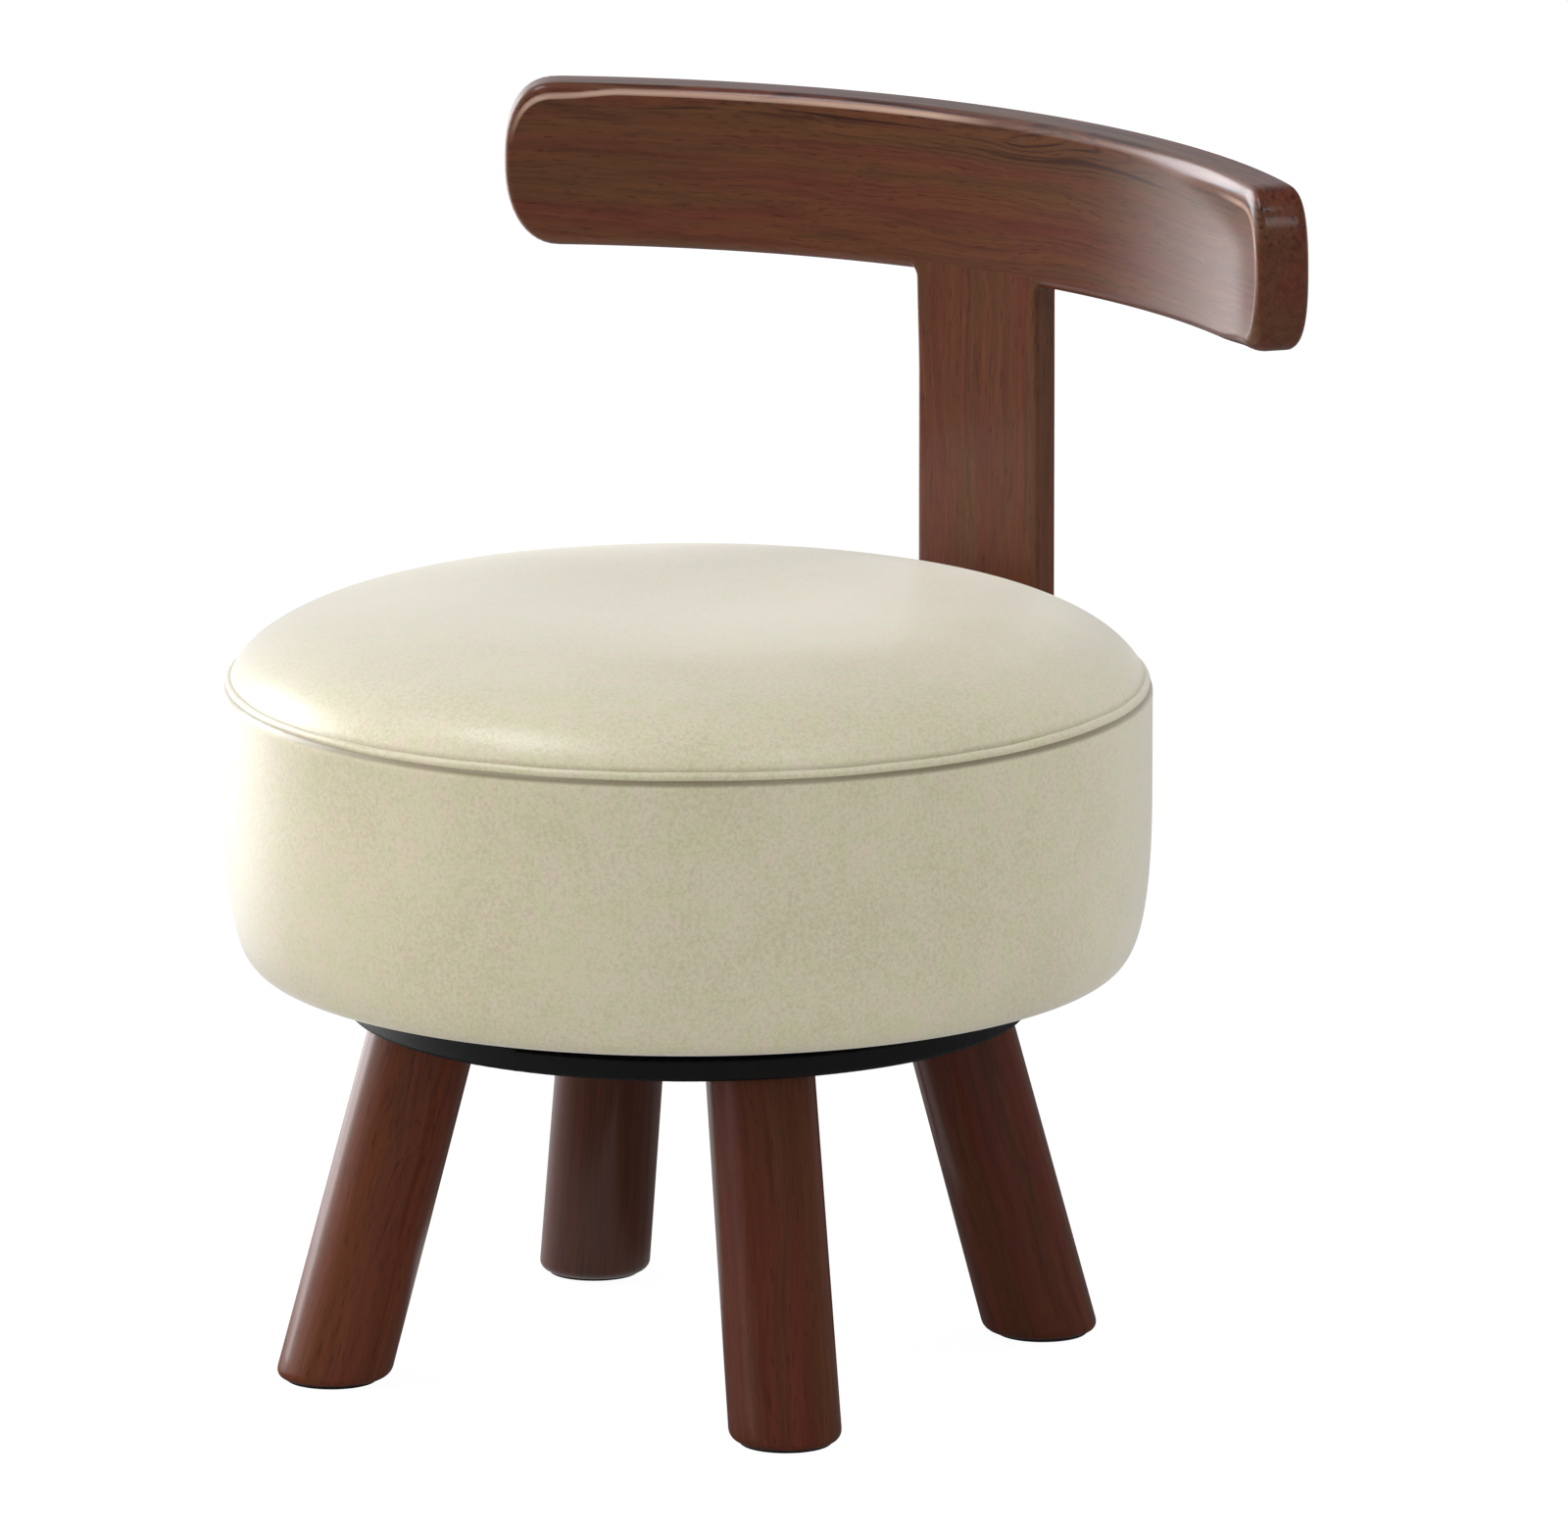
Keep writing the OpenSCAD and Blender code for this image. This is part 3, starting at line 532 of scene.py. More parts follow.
# %% [markdown]
# ## The crown
# The top of the seat is one round panel of leather over soft foam on a plywood lid. A smooth dome would
# look like moulded plastic. So the profile is turned about the swivel axis for a true outline, a few slow
# waves give it the unevenness of foam laid by hand, and the swelling adds the tension of the leather. The
# piece is closed underneath, since it stands for its foam as well.

# %% Make the crown
SLACK = 0.4 * MM  # how much smaller than the finished seat the leather starts
CAP = 1.1 * MM  # the furthest that any point may swell
ROUND_COLUMNS = 160
CROWN_ROWS = 44
CROWN_LUMPS, LUMPS_SEED = 0.3 * MM, 3
CROWN_SEWN = 1.5 * MM  # this far above the seam the crown is held
SHADE_NEAR, SHADE_FAR = 2.1 * MM, 3.3 * MM
SEAM_EASE = 8 * MM  # over this height above or below the seam the slack grows from nothing


def seam_shade(grid, strength):
    """The painted shade of each point beside the seam: strength up to SHADE_NEAR above or below it,
    falling in a straight line to 0 at SHADE_FAR."""
    far = np.abs(grid[..., 2] - seam_z)
    share = np.clip((SHADE_FAR - far) / (SHADE_FAR - SHADE_NEAR), 0, 1) * strength
    return np.repeat(share[..., None], 3, axis=-1)


def slackened(full, slim, far):
    """A profile that follows full at the seam and slim from SEAM_EASE away, and a smooth mix between."""
    return full + (slim - full) * smooth_step(far / SEAM_EASE)[:, None]


crown_full = crown_profile(CROWN_ROWS)
crown_top = slackened(crown_full, crown_profile(CROWN_ROWS, SLACK), crown_full[:, 1] - seam_z)
crown_under = np.array([[frame_r, seam_z], [0.0, seam_z]])
crown_grid = revolve(np.vstack([crown_top, crown_under]), ROUND_COLUMNS)
rise = np.clip((crown_grid[..., 2] - seam_z) / (crown_z - seam_z), 0, 1)
crown_grid[..., 2] += foam_lumps(crown_grid, CROWN_LUMPS, LUMPS_SEED) * rise
seat_crown = surface("seat_crown", crown_grid, sharp_deg=60, seam=seam_shade(crown_grid, 0.5))
spots = points_of(seat_crown)
swell(seat_crown, spots[:, 2] < seam_z + CROWN_SEWN, CAP)
print("crown points:", len(seat_crown.data.vertices))

# %% [markdown]
# ## The band
# The side is a strip of leather sewn to the crown, drawn down over the foam and stapled underneath. It
# could be a plain cylinder with a rounded edge. Here its widest level, its seam and its hem follow their
# own curves, and the hem puckers into small gathers, as leather does where it is drawn in on a circle.

# %% Make the band
BAND_ROWS, UNDER_ROWS, HEM_ROWS = 20, 34, 8
BAND_SEWN = 4 * MM  # this far below the seam the band is held
FRAME_EASE = 2 * MM  # the hidden side rounds the frame's corners by this
FLAP_W, FLAP_LIP = 8 * MM, 1 * MM  # the allowance sewn in under the crown, and its fold at the seam
GATHERS = 46
GATHER_MM = 0.35
band_full = np.vstack([band_profile(BAND_ROWS)[:-1], edge_profile(UNDER_ROWS)])
band_slim = np.vstack([band_profile(BAND_ROWS, SLACK)[:-1], edge_profile(UNDER_ROWS, SLACK)])
band_outer = slackened(band_full, band_slim, seam_z - band_full[:, 1])
hem_r = seat_r - EDGE_W - HEM_W
band_inner = np.array([[hem_r, under_z + SLACK], [hem_r, board_z], [frame_r, board_z + FRAME_EASE],
                       [frame_r + LEATHER_GAP, seam_z - FRAME_EASE],
                       [seam_r - FLAP_W, seam_z - LEATHER_GAP], [seat_r - SEAM_DIP - FLAP_LIP, seam_z]])
hem_rows = np.linspace(1, 0, HEM_ROWS)[1:-1]
hem = np.stack([hem_r + HEM_W * hem_rows, under_z + SLACK + 0 * hem_rows], axis=-1)
band_grid = revolve(np.vstack([band_outer, hem, band_inner]), ROUND_COLUMNS)
# Two slower waves in the phase keep the gathers from being even
spin = np.linspace(0, TURN, ROUND_COLUMNS, endpoint=False)
gather = np.sin(GATHERS * spin + 1.5 * np.sin(3 * spin) + 0.9 * np.sin(7 * spin + 1))
hem_slice = slice(len(band_outer), len(band_outer) + len(hem) + 1)
band_grid[hem_slice, :, 2] += GATHER_MM * MM * gather * np.linspace(0.2, 1, len(hem) + 1)[:, None]
seat_band = surface("seat_band", band_grid, sharp_deg=60, seam=seam_shade(band_grid, 1.0))
spots = points_of(seat_band)
radius = np.hypot(spots[:, 0] - AXIS[0], spots[:, 1] - AXIS[1])
held = (spots[:, 2] > seam_z - BAND_SEWN) | (radius < seat_r - EDGE_W) | (radius < frame_r + MM)
swell(seat_band, held, CAP)
print("band points:", len(seat_band.data.vertices))

# %% [markdown]
# ## The leather against the post
# The bolts draw the post and the seat together, so the foam gives way and the leather lies flat on the
# post's front face. A second simulation with the post as an obstacle could find that shape. It is simpler
# to move the points there, and to let the movement fade out beside the post and towards the seams.

# %% Press the leather against the post
PRESS_BESIDE, PRESS_BELOW, PRESS_ABOVE = 14 * MM, 20 * MM, 6 * MM
PRESS_FROM = 17 * MM  # above the seat's underside
PRESS_TO = 2 * MM  # below the seam
PRESS_SKIN = 8 * MM  # only points this close to the drum's outside move
post_low, post_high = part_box("back_post")


def press_on_post(piece):
    """Each outer point moves along Y by its gap to the post's front face, times a smooth step beside the
    post, one above the seat's rounded bottom and one below the seam."""
    spots = points_of(piece)
    share = smooth_step(1 - (np.abs(spots[:, 0]) - post_high.x) / PRESS_BESIDE)
    share *= smooth_step((spots[:, 2] - under_z - PRESS_FROM) / PRESS_BELOW)
    share *= smooth_step((seam_z - PRESS_TO - spots[:, 2]) / PRESS_ABOVE)
    share *= (spots[:, 1] > 0) & (np.hypot(spots[:, 0], spots[:, 1] - AXIS[1]) > seat_r - PRESS_SKIN)
    move = (post_low.y - spots[:, 1]) * share
    spots[:, 1] += move
    piece.data.vertices.foreach_set("co", spots.ravel())
    piece.data.update()
    print(piece.name, "pressed out by up to", round(float(move.max()) / MM, 1), "mm")


press_on_post(seat_band)

# %% [markdown]
# ## The piping
# A strip of the same leather is folded over a cord and sewn in between the crown and the band. It could be
# a curve with a round bevel. A small circle carried round the seam gives the same tube with all its points
# in one grid, so that it can waver up and down by a fraction of a millimetre, as a hand-led seam does.
# Crown, band and piping then get the same leather, and the two padded pieces are rounded once more.

# %% Piping
PIPING_COLUMNS, PIPING_ROWS = 480, 20
WAVER = 0.14 * MM
around = np.linspace(0, TURN, PIPING_ROWS, endpoint=False)
piping_ring = np.stack([seam_r - PIPING_SUNK + PIPING_R * np.cos(around),
                        seam_z + PIPING_R * np.sin(around)], axis=-1)
piping_grid = revolve(piping_ring, PIPING_COLUMNS)
spin = np.linspace(0, TURN, PIPING_COLUMNS, endpoint=False)
waver = WAVER * (np.sin(5 * spin + 0.6) + 0.6 * np.sin(13 * spin) + 0.4 * np.sin(29 * spin + 2))
piping_grid[..., 2] += waver
seat_piping = surface("seat_piping", piping_grid, wrap_rows=True)
print("piping points:", len(seat_piping.data.vertices))

# %% Dress the seat
for piece, nodes in ((seat_crown, ["crown_cover", "crown_foam"]), (seat_band, ["side_cover", "side_foam"]),
                     (seat_piping, ["piping"])):
    dress(LEATHER, piece.name)
    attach(piece, "seat")
    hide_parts(*nodes)
for piece in (seat_crown, seat_band):
    smooth = piece.modifiers.new("smooth", "SUBSURF")
    smooth.levels = smooth.render_levels = 1

# %% [markdown]
# ## The back rail
# The rail is a board 20 mm thick bent or sawn to a wide arc. Its tips are half superellipses, and its edges
# have a 4 mm rounding that grows towards the tips, most of all along the top at the right-hand end. It is
# worked out flat, as rings of the same outline that shrink towards the middle of a face and step round the
# edge, and every point is then wrapped round the arc. The flat coordinates are kept as wood coordinates, so
# the grain follows the bend, and a second attribute says where a pale highlight is painted on the edge.

# %% Rail
RAIL_R = 287 * MM
RAIL_T = 20 * MM
RAIL_EDGE = 4 * MM
TIP_W = 21 * MM
TIP_POWERS = (2.6, 2.2)  # above and below
TIP_COLUMNS, SIDE_COLUMNS, FACE_ROWS, EDGE_ROWS = 26, 120, 9, 20
WIDE_EDGE, WIDE_FROM, WIDE_OVER = 8.5 * MM, 70 * MM, 70 * MM
TIP_EDGE, TIP_FROM, TIP_OVER = 6.0 * MM, 150 * MM, 25 * MM
TIP_DEEP = 9 * MM
TIP_PINCH = 0.999  # keeps the rings at the tips just inside one another
HIGHLIGHT_W = 2.6 * MM  # how far up the rounding, from the face, the highlight is painted
# along the rail, from the left tip to the right, how strong the painted highlight is
HIGHLIGHT_PLACES, HIGHLIGHT_SHARES = np.array([-20, 10, 150, 172]) * MM, [1.0, 0.12, 0.12, 1.0]

rail_low, rail_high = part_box("back_rail")
rail_half_h = (rail_high.z - rail_low.z) / 2
rail_mid_z = (rail_high.z + rail_low.z) / 2
rail_front_y = rail_high.y - RAIL_T
rail_centre_y = rail_front_y - RAIL_R
rail_mid_r = RAIL_R + RAIL_T / 2
rail_half_l = rail_mid_r * np.arcsin(rail_high.x / (RAIL_R + RAIL_T))


def rail_loop(width, height):
    """The outline once round, as (along, across): half a superellipse at each tip, width by height, of a
    higher power above than below, and straight runs between. width and height are one number or one
    per point."""
    mid = rail_half_l - TIP_W
    right = np.linspace(-TURN / 4, TURN / 4, TIP_COLUMNS)
    bow = 2 / np.where(right > 0, *TIP_POWERS)
    tip_out = np.cos(right) ** bow
    tip_up = np.sign(right) * np.abs(np.sin(right)) ** bow
    run = np.linspace(mid, -mid, SIDE_COLUMNS + 2)[1:-1]
    centre = np.concatenate([0 * right + mid, run, 0 * right - mid, -run])
    reach = np.concatenate([tip_out, 0 * run, -tip_out[::-1], 0 * run])
    up = np.concatenate([tip_up, 1 + 0 * run, tip_up[::-1], -1 + 0 * run])
    return centre + width * reach, height * up, centre, up


def rail_surface():
    """Rings from the middle of the front face, out to its rim, round the edge, across the thickness and
    back in behind. A ring is (share of the face, rise and run of the rounding, is in front). The rounding
    is a quarter ellipse. In front its height grows from 4 mm to WIDE_EDGE at the right end of the top, to
    TIP_EDGE at the left end of the top and under the right end, and its depth to TIP_DEEP there. The
    share of the painted highlight rises and falls as sin to 0.6 over its width up the rounding."""
    t = quarter(EDGE_ROWS)
    front = [(share, 0.0, 1.0) for share in np.linspace(0, 1, FACE_ROWS)[:-1]]
    front += [(1.0, rise, run) for rise, run in zip(np.sin(t), np.cos(t))]
    rings = [ring + (True,) for ring in front] + [ring + (False,) for ring in reversed(front)]
    along, _, _, up = rail_loop(0, 1)
    above, below = np.clip(up, 0, 1), np.clip(-up, 0, 1)
    right = smooth_step((along - WIDE_FROM) / WIDE_OVER)
    left = smooth_step((-along - TIP_FROM) / TIP_OVER)
    tip = smooth_step((along - TIP_FROM) / TIP_OVER)
    high = RAIL_EDGE + ((WIDE_EDGE - RAIL_EDGE) * right + (TIP_EDGE - RAIL_EDGE) * left) * above \
        + (TIP_EDGE - RAIL_EDGE) * tip * below
    deep = RAIL_EDGE + (TIP_DEEP - RAIL_EDGE) * tip * below
    # At the right the painted highlight also runs round the tip's side, at the left it lies only on the top
    facing_up = np.clip(np.where(along > 0, 0.45 + 0.8 * up, 1.6 * up - 0.5), 0, 1)
    highlight_along = np.interp(along, HIGHLIGHT_PLACES, HIGHLIGHT_SHARES) * facing_up
    grid, wood, painted_highlight = [], [], []
    for share, rise, run, is_front in rings:
        border = high if is_front else RAIL_EDGE
        depth = (deep if is_front else RAIL_EDGE) * (1 - run)
        depth = depth + 0 * along if is_front else RAIL_T - depth + 0 * along
        size = share * (1 - border * (1 - rise) / rail_half_h)
        width = np.maximum(TIP_W - (1 - size) * rail_half_h, size * TIP_W * TIP_PINCH)
        width = width * np.minimum(1, 4 * share)
        place, across, _, _ = rail_loop(width, size * rail_half_h)
        turn = place / rail_mid_r
        radius = RAIL_R + depth
        grid.append(np.stack([radius * np.sin(turn), rail_centre_y + radius * np.cos(turn),
                              rail_mid_z + across], axis=-1))
        wood.append(np.stack([place, across, depth], axis=-1))
        highlight_share = np.sin(np.pi * np.clip(border * rise / HIGHLIGHT_W, 0, 1)) ** 0.6 * highlight_along
        painted_highlight.append(np.repeat(highlight_share[:, None], 3, axis=1))
    return np.array(grid), np.array(wood), np.array(painted_highlight)


RAIL_CUT = np.array([0.0, -0.026, 0.003])  # from the middle of the front face to the pith

rail_grid, rail_wood, rail_highlight = rail_surface()
# The attribute edge carries the highlight painted on the rounded edges
rail_piece = surface("rail", rail_grid, wood=rail_wood + RAIL_CUT, edge=rail_highlight)
dress(WALNUT, "rail")
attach(rail_piece, "seat")
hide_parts("back_rail")
print("rail length along its middle", round(2 * rail_half_l / MM), "mm")

# %% [markdown]
# ## The post
# The post is a flat board with eased edges that stands up the back of the seat and is tenoned into the
# rail. Its face is worked flush with the rail's hollow face, so just under the rail it takes on the same
# hollow, and its sides flare out in a small cove. Each level is a rounded rectangle, and the levels are
# stacked from the rounded foot to inside the rail.

# %% Post
POST_EDGE = 2 * MM
FOOT_R = 6 * MM
COVE = 6 * MM
COVE_OVER = 3 * MM  # above the rail's lowest level, where its rounded edge meets the post
HOLLOW_OVER = 45 * MM
FACE_SET_BACK = 0.05 * MM  # just behind the rail's face, so that the two never fight for the same place
POST_W, POST_T = 56.5 * MM, 12 * MM
POST_CUT = np.array([1.7, 0.021, 0.004])  # where in the plank the post was cut
ROUND_ROWS, PLAIN_ROWS, HOLLOW_ROWS = 9, 16, 12
TENON_IN = 2 * MM  # how far above the joint the mesh runs on inside the rail
SIDE_POINTS, CORNER_POINTS = 14, 6
ROUND_ACROSS = 0.99  # the corners are a hair less round across the thickness


def rectangle_round(per_side, per_corner):
    """A rounded rectangle in shares: for each point its place on the core rectangle, from -1 to 1 each
    way, and the outward direction in which the corner radius is added."""
    turn = quarter(per_corner)
    along = np.linspace(-1, 1, per_side + 2)[1:-1]
    core, out = [], []
    for start, (x, y) in zip(np.arange(4) * TURN / 4, ((1, 1), (-1, 1), (-1, -1), (1, -1))):
        corner = np.stack([np.cos(turn + start), np.sin(turn + start)], axis=-1)
        core.append(np.tile([x, y], (per_corner, 1)))
        out.append(corner)
        side = np.stack([-y * along, x * along], axis=-1) * np.abs(np.round(corner[-1]))[::-1]
        core.append(side + np.round(corner[-1]))
        out.append(np.tile(corner[-1], (per_side, 1)))
    return np.vstack(core), np.vstack(out)


def post_surface():
    """Levels of the rounded rectangle. The foot's corners follow a quarter circle of 6 mm, the eased end
    one of 2 mm and the cove under the rail one of 6 mm, and the hollow grows with a smooth step."""
    foot = post_low.z
    join = rail_low.z + COVE_OVER
    t = quarter(ROUND_ROWS)
    low = foot + FOOT_R * (1 - np.cos(t))
    mid = np.linspace(foot + FOOT_R, join - HOLLOW_OVER, PLAIN_ROWS)[1:]
    high = np.linspace(join - HOLLOW_OVER, join - COVE, HOLLOW_ROWS)[1:]
    cove = join - COVE + COVE * np.sin(t)[1:]
    top = np.array([join + TENON_IN])
    z = np.concatenate([low, mid, high, cove, top])
    in_foot = np.maximum(0, foot + FOOT_R - z)
    half_w = POST_W / 2 - FOOT_R + np.sqrt(np.maximum(0, FOOT_R ** 2 - in_foot ** 2))
    half_w += COVE * (1 - np.sqrt(np.maximum(0, 1 - np.clip((z - join + COVE) / COVE, 0, 1) ** 2)))
    ease = np.maximum(0, foot + POST_EDGE - z)
    half_t = POST_T / 2 - POST_EDGE + np.sqrt(np.maximum(0, POST_EDGE ** 2 - ease ** 2))
    core, out = rectangle_round(SIDE_POINTS, CORNER_POINTS)
    x = core[:, 0] * (half_w[:, None] - POST_EDGE) + out[:, 0] * POST_EDGE
    y = core[:, 1] * (half_t[:, None] - POST_EDGE * ROUND_ACROSS) + out[:, 1] * POST_EDGE * ROUND_ACROSS
    share = smooth_step((z - (join - HOLLOW_OVER)) / HOLLOW_OVER)[:, None]
    front = (1 - np.clip(y / (POST_T / 2), -1, 1)) / 2
    sag = RAIL_R - np.sqrt(RAIL_R ** 2 - x ** 2)
    y = y - sag * share * front + FACE_SET_BACK * front
    place = np.stack([x, y + post_low.y + POST_T / 2, z[:, None] + 0 * x], axis=-1)
    ends = [np.broadcast_to(place[i].mean(axis=0), place[i].shape)[None] for i in (0, -1)]
    return np.concatenate([ends[0], place, ends[1]])


post_grid = post_surface()
post_wood = np.stack([post_grid[..., 2], post_grid[..., 0], post_grid[..., 1] - post_low.y], axis=-1)
post_piece = surface("post", post_grid, wood=post_wood + POST_CUT)
dress(WALNUT, "post")
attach(post_piece, "seat")
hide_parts("back_post")
print("post", round(POST_W / MM, 1), "by", round(POST_T / MM, 1), "mm")

# %% [markdown]
# ## The legs
# Each leg is turned round, a little thicker at the floor, and leans outwards. A level slice through a
# leaning round leg is an ellipse, longer the way it leans. The foot's rim is rounded over 4 mm above a thin
# felt pad. The slices are stacked from the pad to the disc, then turned about the swivel axis.

# %% Legs
LEG_SPLAY = np.radians(15.2)
LEG_ANGLES = 45 + 90 * np.arange(4) + 8.9  # degrees round the swivel axis, a little off square
FOOT_CIRCLE_R = 135 * MM
LEG_TOP_R, LEG_FOOT_R = 19.8 * MM, 20.5 * MM
FOOT_ROUND = 4 * MM
FELT_SUNK = 0.9 * MM
pad_top = height_of("foot_pads")[1]
leg_top = height_of("base_disc")[0]
LEG_DYE = "#ffe2cb"
# How much darker each leg is painted, as shade, by where it stands under the seat; the front left one is
# painted lighter, as lit
LEG_PAINTED_SHADE = {"leg_back_right": 0.13, "leg_back_left": 0.22,
              "leg_front_left": -0.08, "leg_front_right": 0.07}
LEG_CUT = np.array([0.6, 0.027, 0.012])  # where in the plank the first leg was cut
NEXT_CUT = np.array([0.37, 0.013, 0.0])  # from one leg to the next
FOOT_ROWS, LEG_ROWS, LEG_COLUMNS = 8, 24, 96


def turned(points, degrees):
    """Points turned about the upright through the origin, then moved to the swivel axis."""
    a = np.radians(degrees)
    matrix = np.array([[np.cos(a), -np.sin(a), 0], [np.sin(a), np.cos(a), 0], [0, 0, 1]])
    return points @ matrix.T + AXIS


def leg_surface():
    """Level ellipses r / cos(lean) by r, whose centres slide inwards by z times tan(lean). The foot's rim
    follows a quarter circle of FOOT_ROUND."""
    t = quarter(FOOT_ROWS)
    foot = pad_top - FELT_SUNK
    z = np.concatenate([foot + FOOT_ROUND * (1 - np.cos(t)),
                        np.linspace(foot + FOOT_ROUND, leg_top, LEG_ROWS)[1:]])
    inset = np.concatenate([FOOT_ROUND * (1 - np.sin(t)), np.zeros(LEG_ROWS - 1)])
    angle = np.linspace(0, TURN, LEG_COLUMNS, endpoint=False)
    radius = (LEG_FOOT_R + (LEG_TOP_R - LEG_FOOT_R) * z / leg_top)[:, None]
    inset, centre = inset[:, None], (FOOT_CIRCLE_R - z * np.tan(LEG_SPLAY))[:, None]
    across = (radius / np.cos(LEG_SPLAY) - inset) * np.cos(angle)
    side = (radius - inset) * np.sin(angle)
    place = np.stack([centre + across, side, z[:, None] + 0 * side], axis=-1)
    wood = np.stack([place[..., 2] / np.cos(LEG_SPLAY), across, side], axis=-1)
    ends = [np.broadcast_to(place[i].mean(axis=0), place[i].shape)[None] for i in (0, -1)]
    wood_ends = [np.broadcast_to(wood[i].mean(axis=0), wood[i].shape)[None] for i in (0, -1)]
    return np.concatenate([ends[0], place, ends[1]]), np.concatenate([wood_ends[0], wood, wood_ends[1]])


leg_grid, leg_wood = leg_surface()
for number, (node, painted_shade) in enumerate(LEG_PAINTED_SHADE.items()):
    leg = surface("walnut_" + node, turned(leg_grid, LEG_ANGLES[number]),
                  wood=leg_wood + LEG_CUT + number * NEXT_CUT)
    # each leg gets its own copy of the walnut, with its painted shade
    dress(walnut("satin_" + node.replace("leg", "walnut"), 0.40, painted_shade, LEG_DYE), leg.name)
    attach(leg, "base")
    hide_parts(node)
print("legs lean", round(float(np.degrees(LEG_SPLAY)), 1), "degrees")

# %% [markdown]
# ## Felt under the feet
# A felt disc as wide as the flat of each foot, let into it by a millimetre, keeps the floor from scratches
# and shows as a dark rim below the wood. Pressed wool felt is a mat of fibres, so it has no gloss at all
# and a soft edge. Its nap is drawn coarser than the real one, which is too fine to show.

# %% Felt pads
FELT_R = 16.8 * MM
FELT_EDGE = 0.6 * MM
FELT_ROWS, FELT_COLUMNS = 5, 48


def grained(name, tones, grain_mm, rough, relief_mm, **shader):
    """A finish from one noise of a real size: it mixes two tones, runs the roughness between two values
    and raises the surface by relief_mm."""
    material, tree, principled = finish_of(name, **shader)
    place = add(tree, "TexCoord").outputs["Object"]
    scaled = add(tree, "Mapping", {"Vector": place, "Scale": [1 / (grain_mm * MM)] * 3})
    noise = add(tree, "TexNoise", {"Vector": scaled, "Scale": 1.0, "Detail": 3.0}).outputs["Fac"]
    colour = add(tree, "ValToRGB", {"Fac": noise}, ramp=[(0.35, tones[0]), (0.65, tones[1])])
    spread = add(tree, "MapRange", {"Value": noise, "From Min": 0.3, "From Max": 0.7,
                                    "To Min": rough[0], "To Max": rough[1]})
    relief = add(tree, "Bump", {"Height": noise, "Strength": 0.5, "Distance": relief_mm * MM})
    feed(tree, principled, {"Base Color": colour, "Roughness": spread, "Normal": relief})
    return material


FELT = grained("pressed_wool_felt", ("#121112", "#262425"), 0.7, (0.92, 1.0), 0.5, Sheen_Weight=0.25)
ease = quarter(FELT_ROWS)
felt_rim = np.stack([FELT_R - FELT_EDGE * (1 - np.sin(ease)), FELT_EDGE * (1 - np.cos(ease))], axis=-1)
felt_profile = np.vstack([[[0, 0]], felt_rim, [[FELT_R, pad_top], [0, pad_top]]])
felts = []
for around in np.radians(LEG_ANGLES):
    foot = AXIS + FOOT_CIRCLE_R * np.array([np.cos(around), np.sin(around), 0])
    felts.append(surface("felt", revolve(felt_profile, FELT_COLUMNS, foot)))
felt_feet = joined("felt_feet", felts)
dress(FELT, "felt_feet")
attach(felt_feet, "base")
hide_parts("foot_pads")
print("felt pads", round(2 * FELT_R / MM, 1), "mm across")

# %% [markdown]
# ## The bolts in the post
# Three flat button-headed bolts go through the post into the seat's frame. Their heads have a hexagon
# socket, a rim rounded by the cold forming, and a bright zinc plating with a faint bloom. A turned profile
# makes the head and the shank, and around the socket the radius follows a hexagon instead of a circle.

# %% Post bolts
ZINC = grained("zinc_plated_steel", ("#b4b7bb", "#c6c8cb"), 6.0, (0.26, 0.36), 0.006, Metallic=1.0)
BOLT_R, BOLT_TIP = 3 * MM, 0.6 * MM
HEAD_H, HEAD_RIM, HEAD_DOME = 2.5 * MM, 0.9 * MM, 0.25 * MM
SOCKET_R, SOCKET_DEEP = 2.3 * MM, 1.9 * MM
BEVEL_W, BEVEL_DEEP = 0.2 * MM, 0.15 * MM  # at the socket's mouth
BOLT_COLUMNS, RIM_ROWS = 72, 6
DOME_PLACES = np.linspace(0.45, 0.85, 4)  # rings of points on the dome, as shares of the head's radius
bolts_low, bolts_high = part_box("post_bolts")
head_r = (bolts_high.x - bolts_low.x) / 2


def bolt_surface(centre, top_y, length):
    """A bolt along Y. Rows run from the middle of the socket's floor over the head to the shank's tip.
    On the socket's rows the radius is that of a hexagon: its inner radius over cos of the angle from the
    middle of the nearest side."""
    angle = np.linspace(0, TURN, BOLT_COLUMNS, endpoint=False)
    hexagon = SOCKET_R * np.cos(TURN / 12) / np.cos(angle % (TURN / 6) - TURN / 12)
    ones = np.ones_like(angle)
    rows = [(0 * ones, -SOCKET_DEEP), (hexagon, -SOCKET_DEEP), (hexagon, -BEVEL_DEEP),
            (hexagon + BEVEL_W, 0.0)]
    rows += [(r * ones, -HEAD_DOME * (r / head_r) ** 2) for r in DOME_PLACES * head_r]
    rows += [((head_r - HEAD_RIM + HEAD_RIM * np.sin(t)) * ones, -HEAD_DOME - HEAD_RIM * (1 - np.cos(t)))
             for t in quarter(RIM_ROWS)]
    rows += [(head_r * ones, -HEAD_H), (BOLT_R * ones, -HEAD_H), (BOLT_R * ones, -length + BOLT_TIP),
             ((BOLT_R - BOLT_TIP) * ones, -length), (0 * ones, -length)]
    return np.array([np.stack([centre[0] + r * np.cos(angle), top_y + d + 0 * angle,
                               centre[1] + r * np.sin(angle)], axis=-1) for r, d in rows])


heads = np.linspace(bolts_low.z + head_r, bolts_high.z - head_r, 3)
bolt_length = bolts_high.y - bolts_low.y
post_bolts = joined("button_head_bolts", [
    surface("bolt", bolt_surface((0, z), bolts_high.y, bolt_length), sharp_deg=30) for z in heads])
dress(ZINC, "button_head_bolts")
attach(post_bolts, "seat")
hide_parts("post_bolts")
print("three bolts, heads", round(2 * head_r / MM, 1), "mm across")

